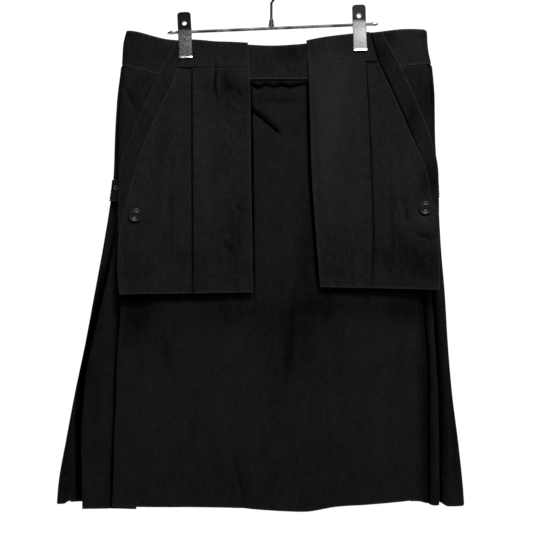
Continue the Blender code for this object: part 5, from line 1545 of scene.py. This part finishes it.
# %% Plated steel, scuffed, with painted darker and paler copies for the clips
def plated_steel(name, bright, dull, rough, wear_mm=1.4, worn=None, above=None):
    """Chromium plate with scuffs of this size; a clip's is darker, in the colour `worn`, from a height
    `above` up.
    """
    made, tree, shader = new_material(name)
    place = node(tree, "ShaderNodeTexCoord").outputs["Object"]
    scuff = node(tree, "ShaderNodeTexNoise", {"Vector": place, "Scale": 1 / (wear_mm * MM * 1.5),
                                              "Detail": 3.0, "Roughness": 0.65}).outputs[0]
    spread_out = node(tree, "ShaderNodeMapRange", {"Value": scuff, "From Min": 0.38,
                                                   "From Max": 0.60}).outputs[0]
    colour = node(tree, "ShaderNodeMix", {0: spread_out, 6: shade(dull), 7: shade(bright)},
                  data_type="RGBA").outputs[2]
    if above is not None:
        height = node(tree, "ShaderNodeSeparateXYZ", {"Vector": place}).outputs[2]
        ragged = node(tree, "ShaderNodeMath", {0: scuff, 1: 6.0 * MM, 2: height},
                      operation="MULTIPLY_ADD").outputs[0]
        dark = node(tree, "ShaderNodeMapRange", {
            "Value": ragged, "From Min": above, "From Max": above + 4 * MM}).outputs[0]
        colour = node(tree, "ShaderNodeMix", {0: dark, 6: colour, 7: shade(worn)},
                      data_type="RGBA").outputs[2]
    tree.links.new(colour, shader.inputs["Base Color"])
    matt = node(tree, "ShaderNodeMapRange", {"Value": scuff, "From Min": 0.3, "From Max": 0.7,
                                             "To Min": rough[1], "To Max": rough[0]})
    tree.links.new(matt.outputs[0], shader.inputs["Roughness"])
    bump = node(tree, "ShaderNodeBump", {"Height": scuff, "Strength": 0.25, "Distance": 0.15 * MM})
    tree.links.new(bump.outputs[0], shader.inputs["Normal"])
    shader.inputs["Metallic"].default_value = 1.0
    return made


CLIP_HEIGHT = {"left": -0.0913, "right": -0.0810}      # of the rod's centre at each clip, metres
chrome = plated_steel("chromed_steel_rod", "#7C7D7E", "#2C2D2E", (0.16, 0.3), 26.0)
# Painted shade and painted light: the two clips are one chrome, the left copy painted darker and the
# right one paler.
clip_plate = {
    "left": plated_steel("chromed_steel_painted_darker", "#8E8F90", "#242526", (0.3, 0.5), 1.5,
                         "#202021", CLIP_HEIGHT["left"] + 0.0035),
    "right": plated_steel("chromed_steel_painted_paler", "#F2F2F2", "#9C9D9F", (0.28, 0.5), 1.5,
                          "#3C3D3E", CLIP_HEIGHT["right"] + 0.006)}
spring_finish = plated_steel("nickel_spring_wire", "#9A9893", "#6E6C68", (0.3, 0.4))
eyelet_finish = plated_steel("blackened_brass", "#5A5A58", "#2A2A29", (0.35, 0.5))

# %% Hook, ferrule and rod
HOOK_WIRE, HOOK_RADIUS, HOOK_RISE, STEM_BOTTOM, STEM_TOP = 3.6, 22.0, 66.0, 3.6, 36.0
ARC_START, ARC_END = -38.0, 200.0
ROD_DIAMETER, ROD_LEFT, ROD_RIGHT, ROD_TILT = 4.2, 147.0, 150.5, math.radians(2.4)
FERRULE_TOP = 13.4


def above_rod(x, up):
    """A place in the hanger's plane, by its height above the rod's centre."""
    return to_world(x, 0.0, -up)


def smooth_path(points, steps):
    """A Catmull-Rom curve through the points."""
    padded = [points[0] * 2 - points[1], *points, points[-1] * 2 - points[-2]]
    path = []
    for before, start, end, after in zip(padded, padded[1:], padded[2:], padded[3:]):
        for step in range(steps):
            t = step / steps
            path.append(0.5 * (2 * start + (end - before) * t
                               + (2 * before - 5 * start + 4 * end - after) * t ** 2
                               + (3 * start - before - 3 * end + after) * t ** 3))
    return path + [points[-1]]


def finish_metal(made, replaced):
    """The calls that every metal piece needs."""
    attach(made, BODY)
    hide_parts(replaced)
    return made


arc = [above_rod(HOOK_RADIUS * math.cos(turn), HOOK_RISE + HOOK_RADIUS * math.sin(turn))
       for turn in (math.radians(ARC_START + (ARC_END - ARC_START) * step / 56)
                    for step in range(57))]
bend_in = smooth_path([above_rod(0, STEM_TOP), above_rod(7.5, HOOK_RISE - 20.0), arc[0]], 8)
hook_path = [above_rod(0, height) for height in (STEM_BOTTOM, 12.0, 24.0)] + bend_in + arc[1:]
tip = (hook_path[-1] - hook_path[-2]).normalized()
rounding = ((0.0, 1.0), (0.35, 0.94), (0.68, 0.74), (0.9, 0.45), (1.0, 0.12))
wire_radius = HOOK_WIRE / 2 * MM
body_path = hook_path[:-1]
hook_path = body_path + [body_path[-1] + tip * (wire_radius * part) for part, _ in rounding[1:]]
hook_radii = [wire_radius] * len(body_path) + [wire_radius * size for _, size in rounding[1:]]
finish_metal(add_piece("bent_wire_hook", rod_mesh("hook", hook_path, hook_radii, 20), chrome),
             "hanger_hook")

rod_radius = ROD_DIAMETER / 2
ferrule_profile = ((0.0, FERRULE_TOP), (1.9, FERRULE_TOP), (2.5, FERRULE_TOP - 0.3),
                   (2.8, FERRULE_TOP - 1.0), (3.0, FERRULE_TOP - 3.2), (3.7, rod_radius + 3.0),
                   (4.2, rod_radius + 1.0), (4.1, rod_radius + 0.4), (0.0, rod_radius + 0.35))
finish_metal(add_piece("pressed_ferrule", lathe("ferrule", ferrule_profile, 48), chrome,
                       Matrix.Translation(above_rod(0, 0))), "hanger_ferrule")


def along_rod(reach):
    """A place on the tilted rod's axis."""
    return to_world(reach * math.cos(ROD_TILT), 0.0, -reach * math.sin(ROD_TILT))


ends = [(-ROD_LEFT + rod_radius * (1 - part), size) for part, size in reversed(rounding)]
ends += [(ROD_RIGHT - rod_radius * (1 - part), size) for part, size in rounding]
knobs = [(-ROD_LEFT + reach, size) for reach, size in ((4.0, 1.25), (8.0, 1.2), (11.0, 1.0))]
knobs += [(ROD_RIGHT - reach, size) for reach, size in ((11.0, 1.0), (8.0, 1.2), (4.0, 1.25))]
ends = sorted(ends + knobs)                 # the rod's ends are upset a little thicker
rod_points = [along_rod(reach) for reach, _ in ends]
rod_sizes = [rod_radius * MM * size for _, size in ends]
finish_metal(add_piece("straight_rod", rod_mesh("rod", rod_points, rod_sizes, 24), chrome),
             "hanger_rod")

# %% The clips' plates and springs
CLIP_SHEET, CLIP_HOLE_UP, CLIP_HOLE = 1.0, 12.0, 3.5
CLIP_INSET, BACK_JAW_CLOSER, JAW_START, JAW_EASE = 1.4, 1.5, -6.0, 14.0
CLIP_PLATE = lines(("down", "half_width", "stand", "rim"), (
    (-27.0, 5.4, 12.6, 0.7), (-26.4, 7.2, 12.5, 0.9), (-25.2, 8.7, 12.2, 1.0),
    (-23.4, 9.4, 11.9, 1.2), (-22.0, 9.5, 11.6, 1.3), (-8.5, 9.5, 8.3, 1.4), (-6.0, 9.5, 7.8, 3.4),
    (-3.6, 9.5, 7.4, 11.0), (3.6, 9.5, 6.9, 10.5), (6.0, 9.5, 6.8, 3.0), (8.5, 9.5, 6.8, 1.4),
    (20.0, 9.5, 6.9, 1.4), (30.0, 9.5, 6.5, 0.8), (33.6, 9.5, 6.2, 0.6), (35.4, 9.5, 6.5, 0.6),
    (36.7, 9.5, 7.1, 0.6)))
PLATE_ROWS = np.concatenate([np.linspace(-27, -22, 9), np.linspace(-20, -10, 6),
                             np.linspace(-8.5, 8.5, 18), np.linspace(11, 30, 8),
                             np.linspace(31.5, 36.7, 8)])
CORNER = 1.3


def plate_section(values, facing, inset):
    """Half round corners between a plate's face and its two folded sides."""
    half, stand, rim = values["half_width"] - inset, values["stand"], values["rim"]
    corner = min(CORNER, rim * 0.9)
    side = [(half, stand - rim), (half, stand - corner)]
    side += [(half - corner * (1 - math.cos(turn)), stand - corner * (1 - math.sin(turn)))
             for turn in (math.pi * step / 8 for step in range(1, 5))]
    face = [(u * (half - corner), stand + 0.35 * (1 - u * u)) for u in (0.66, 0.33, 0.0)]
    right = side + face
    return [(u, facing * v) for u, v in [(-u, v) for u, v in right[:-1]] + right[::-1]]


def clip_plate_mesh(name, facing, inset, matrix):
    """A lofted plate, in the clip's own frame and then moved to its place."""
    rows = []
    for down in PLATE_ROWS:
        values = {key: line(float(down)) for key, line in CLIP_PLATE.items()}
        if facing > 0:
            values["stand"] -= BACK_JAW_CLOSER * min(max((down + JAW_START) / JAW_EASE, 0.0), 1.0)
        rows.append([(u * MM, v * MM, -down * MM) for u, v in plate_section(values, facing, inset)])
    count = len(rows[0])
    faces = []
    for row in range(len(rows) - 1):
        for column in range(count - 1):
            corner = row * count + column
            face = (corner, corner + count, corner + count + 1, corner + 1)
            faces.append(face if facing < 0 else face[::-1])
    mesh = bpy.data.meshes.new(name)
    mesh.from_pydata([point for row in rows for point in row], [], faces)
    mesh.transform(matrix)
    return mesh


for word, reach in CLIP_AT.items():
    stand_at = Matrix.Translation(along_rod(reach)) @ Matrix.Rotation(-ROD_TILT, 4, "Y")
    for where, facing, inset in (("front", -1, 0.0), ("back", 1, CLIP_INSET)):
        name = f"sprung_plate_{word}_{where}"
        plate = add_piece(name, clip_plate_mesh(name, facing, inset, stand_at), clip_plate[word])
        wall = plate.modifiers.new("sheet", "SOLIDIFY")
        wall.thickness, wall.offset = CLIP_SHEET * MM, -1.0
        eye = lathe("drill", ((0, -30), (CLIP_HOLE, -30), (CLIP_HOLE, 30), (0, 30)), 32)
        bore = lathe("drill", ((0, -30), (rod_radius + 0.3, -30), (rod_radius + 0.3, 30), (0, 30)), 32)
        upright = stand_at @ Matrix.Translation((0, 0, CLIP_HOLE_UP * MM)) @ Matrix.Rotation(
            math.pi / 2, 4, "X")
        bored(plate, [add_piece("drill", eye, chrome, upright),
                      add_piece("drill", bore, chrome, stand_at @ Matrix.Rotation(
                          math.pi / 2, 4, "Y"))])
        plate.data.set_sharp_from_angle(angle=math.radians(50))
        finish_metal(plate, f"clip_{word}_{where}")
    turns, wire_sides, coil_radius, coil_pitch = 4, 20, 3.6, 2.2
    coil = [stand_at @ (Vector(((step / wire_sides - turns / 2) * coil_pitch,
                                coil_radius * math.cos(2 * math.pi * step / wire_sides),
                                coil_radius * math.sin(2 * math.pi * step / wire_sides))) * MM)
            for step in range(turns * wire_sides + 1)]
    finish_metal(add_piece(f"coil_spring_{word}", rod_mesh("coil", coil, [0.6 * MM] * len(coil), 8),
                           spring_finish), f"clip_{word}_spring")

# %% The tabs' eyelets
RING_RADIUS, RING_WIRE = 2.7, 0.75
for word, tab in TABS.items():
    section = section_at(round(level_of(tab.ring[1], tab.start), 2))
    s = section.length_to(tab.ring[0])
    base = -2 * GAP - TAB_WALL - RING_WIRE * 0.5
    plan, outer = section.place(s, base), section.place(s, base - 1.0)
    outward = Vector((outer.x - plan.x, outer.y - plan.y, 0.0)).normalized()
    ring_profile = [(RING_RADIUS + RING_WIRE * math.cos(2 * math.pi * step / 12),
                     RING_WIRE * math.sin(2 * math.pi * step / 12)) for step in range(12)]
    shape = bmesh.new()
    rows = [[shape.verts.new((r * MM * math.cos(turn), r * MM * math.sin(turn), h * MM))
             for r, h in ring_profile] for turn in (2 * math.pi * step / 36 for step in range(36))]
    for row, after in zip(rows, rows[1:] + rows[:1]):
        for step in range(12):
            shape.faces.new((row[step], after[step], after[(step + 1) % 12], row[(step + 1) % 12]))
    bmesh.ops.recalc_face_normals(shape, faces=shape.faces[:])
    ring_mesh = bpy.data.meshes.new("ring")
    shape.to_mesh(ring_mesh)
    shape.free()
    turn = Matrix.Translation(to_world(plan.x, plan.y, tab.ring[1])) @ outward.to_track_quat(
        "Z", "Y").to_matrix().to_4x4()
    finish_metal(add_piece(f"metal_eyelet_{word}", ring_mesh, eyelet_finish, turn), f"tab_eyelet_{word}")
print("hanger and eyelets made")

# %% [markdown]
# ## Studio
# The garment was shot straight on against white. A long lens from 3.2 m keeps its edges parallel. A
# soft light stands up to the right, as the bright right-hand edges and the shadow under the panels'
# left corners say. A second one lights the back, and a white surround fills the rest.

# %% Camera, lights, floor
VIEW_WIDTH = 0.7515            # metres across the picture at the garment
CAMERA_AWAY = 3.2
CAMERA_X, CAMERA_Z = -0.0068, -0.4218      # the middle of the picture
FLOOR_RADIUS, FLOOR_Z = 2.4, -1.25
PAPER_HALF, PAPER_AWAY, PAPER_Z = 1.9, 6.0, -0.4
camera_data = bpy.data.cameras.new("camera")
camera_data.sensor_width = 36.0
camera_data.lens = 36.0 * CAMERA_AWAY / VIEW_WIDTH
camera_data.clip_end = 30.0
camera = bpy.data.objects.new("camera", camera_data)
camera.location = (CAMERA_X, -CAMERA_AWAY, CAMERA_Z)
camera.rotation_euler = (math.radians(90), 0, 0)
bpy.context.scene.collection.objects.link(camera)
bpy.context.scene.camera = camera


def soft_light(name, place, target, size, watts):
    """A square area light that looks at a point."""
    data = bpy.data.lights.new(name, "AREA")
    data.shape, data.size, data.energy = "SQUARE", size, watts
    made = bpy.data.objects.new(name, data)
    made.location = place
    made.rotation_euler = (Vector(target) - Vector(place)).to_track_quat("-Z", "Y").to_euler()
    bpy.context.scene.collection.objects.link(made)


SURROUND = 0.24                # strength of the white surround
soft_light("key", (0.6, -1.8, 2.0), (0.0, 0.0, -0.35), 0.7, 215.0)
soft_light("back_fill", (-1.2, 3.0, 1.6), (0.0, 0.0, -0.40), 1.4, 200.0)
world = bpy.data.worlds.new("white_surround")
world.use_nodes = True
world.node_tree.nodes["Background"].inputs["Color"].default_value = (1, 1, 1, 1)
world.node_tree.nodes["Background"].inputs["Strength"].default_value = SURROUND
bpy.context.scene.world = world
bpy.context.scene.view_settings.view_transform = "Standard"

floor_mesh = bpy.data.meshes.new("floor")
disc = bmesh.new()
bmesh.ops.create_circle(disc, cap_ends=True, segments=96, radius=FLOOR_RADIUS)
disc.to_mesh(floor_mesh)
disc.free()
floor_mesh.transform(Matrix.Translation((0, 0, FLOOR_Z)))
pale, _, pale_shader = new_material("pale_floor_paint")
pale_shader.inputs["Base Color"].default_value = shade("#EDEDEB")
pale_shader.inputs["Roughness"].default_value = 0.7
floor_mesh.materials.append(pale)
floor = bpy.data.objects.new("floor", floor_mesh)
bpy.context.scene.collection.objects.link(floor)
floor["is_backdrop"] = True

paper_mesh = bpy.data.meshes.new("backdrop")
paper_mesh.from_pydata([(x * PAPER_HALF, PAPER_AWAY, z * PAPER_HALF + PAPER_Z) for x, z in (
    (-1, -1), (1, -1), (1, 1), (-1, 1))], [], [(0, 1, 2, 3)])
paper, _, paper_shader = new_material("white_backdrop_paper")
paper_shader.inputs["Base Color"].default_value = shade("#000000")
paper_shader.inputs["Emission Color"].default_value = (1, 1, 1, 1)
paper_shader.inputs["Emission Strength"].default_value = 1.0
paper_mesh.materials.append(paper)
backdrop = bpy.data.objects.new("backdrop", paper_mesh)
bpy.context.scene.collection.objects.link(backdrop)
backdrop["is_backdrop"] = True

# %% The shown box, printed
low, high = (list(corner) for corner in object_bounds())
print("shown box from", low, "to", high)
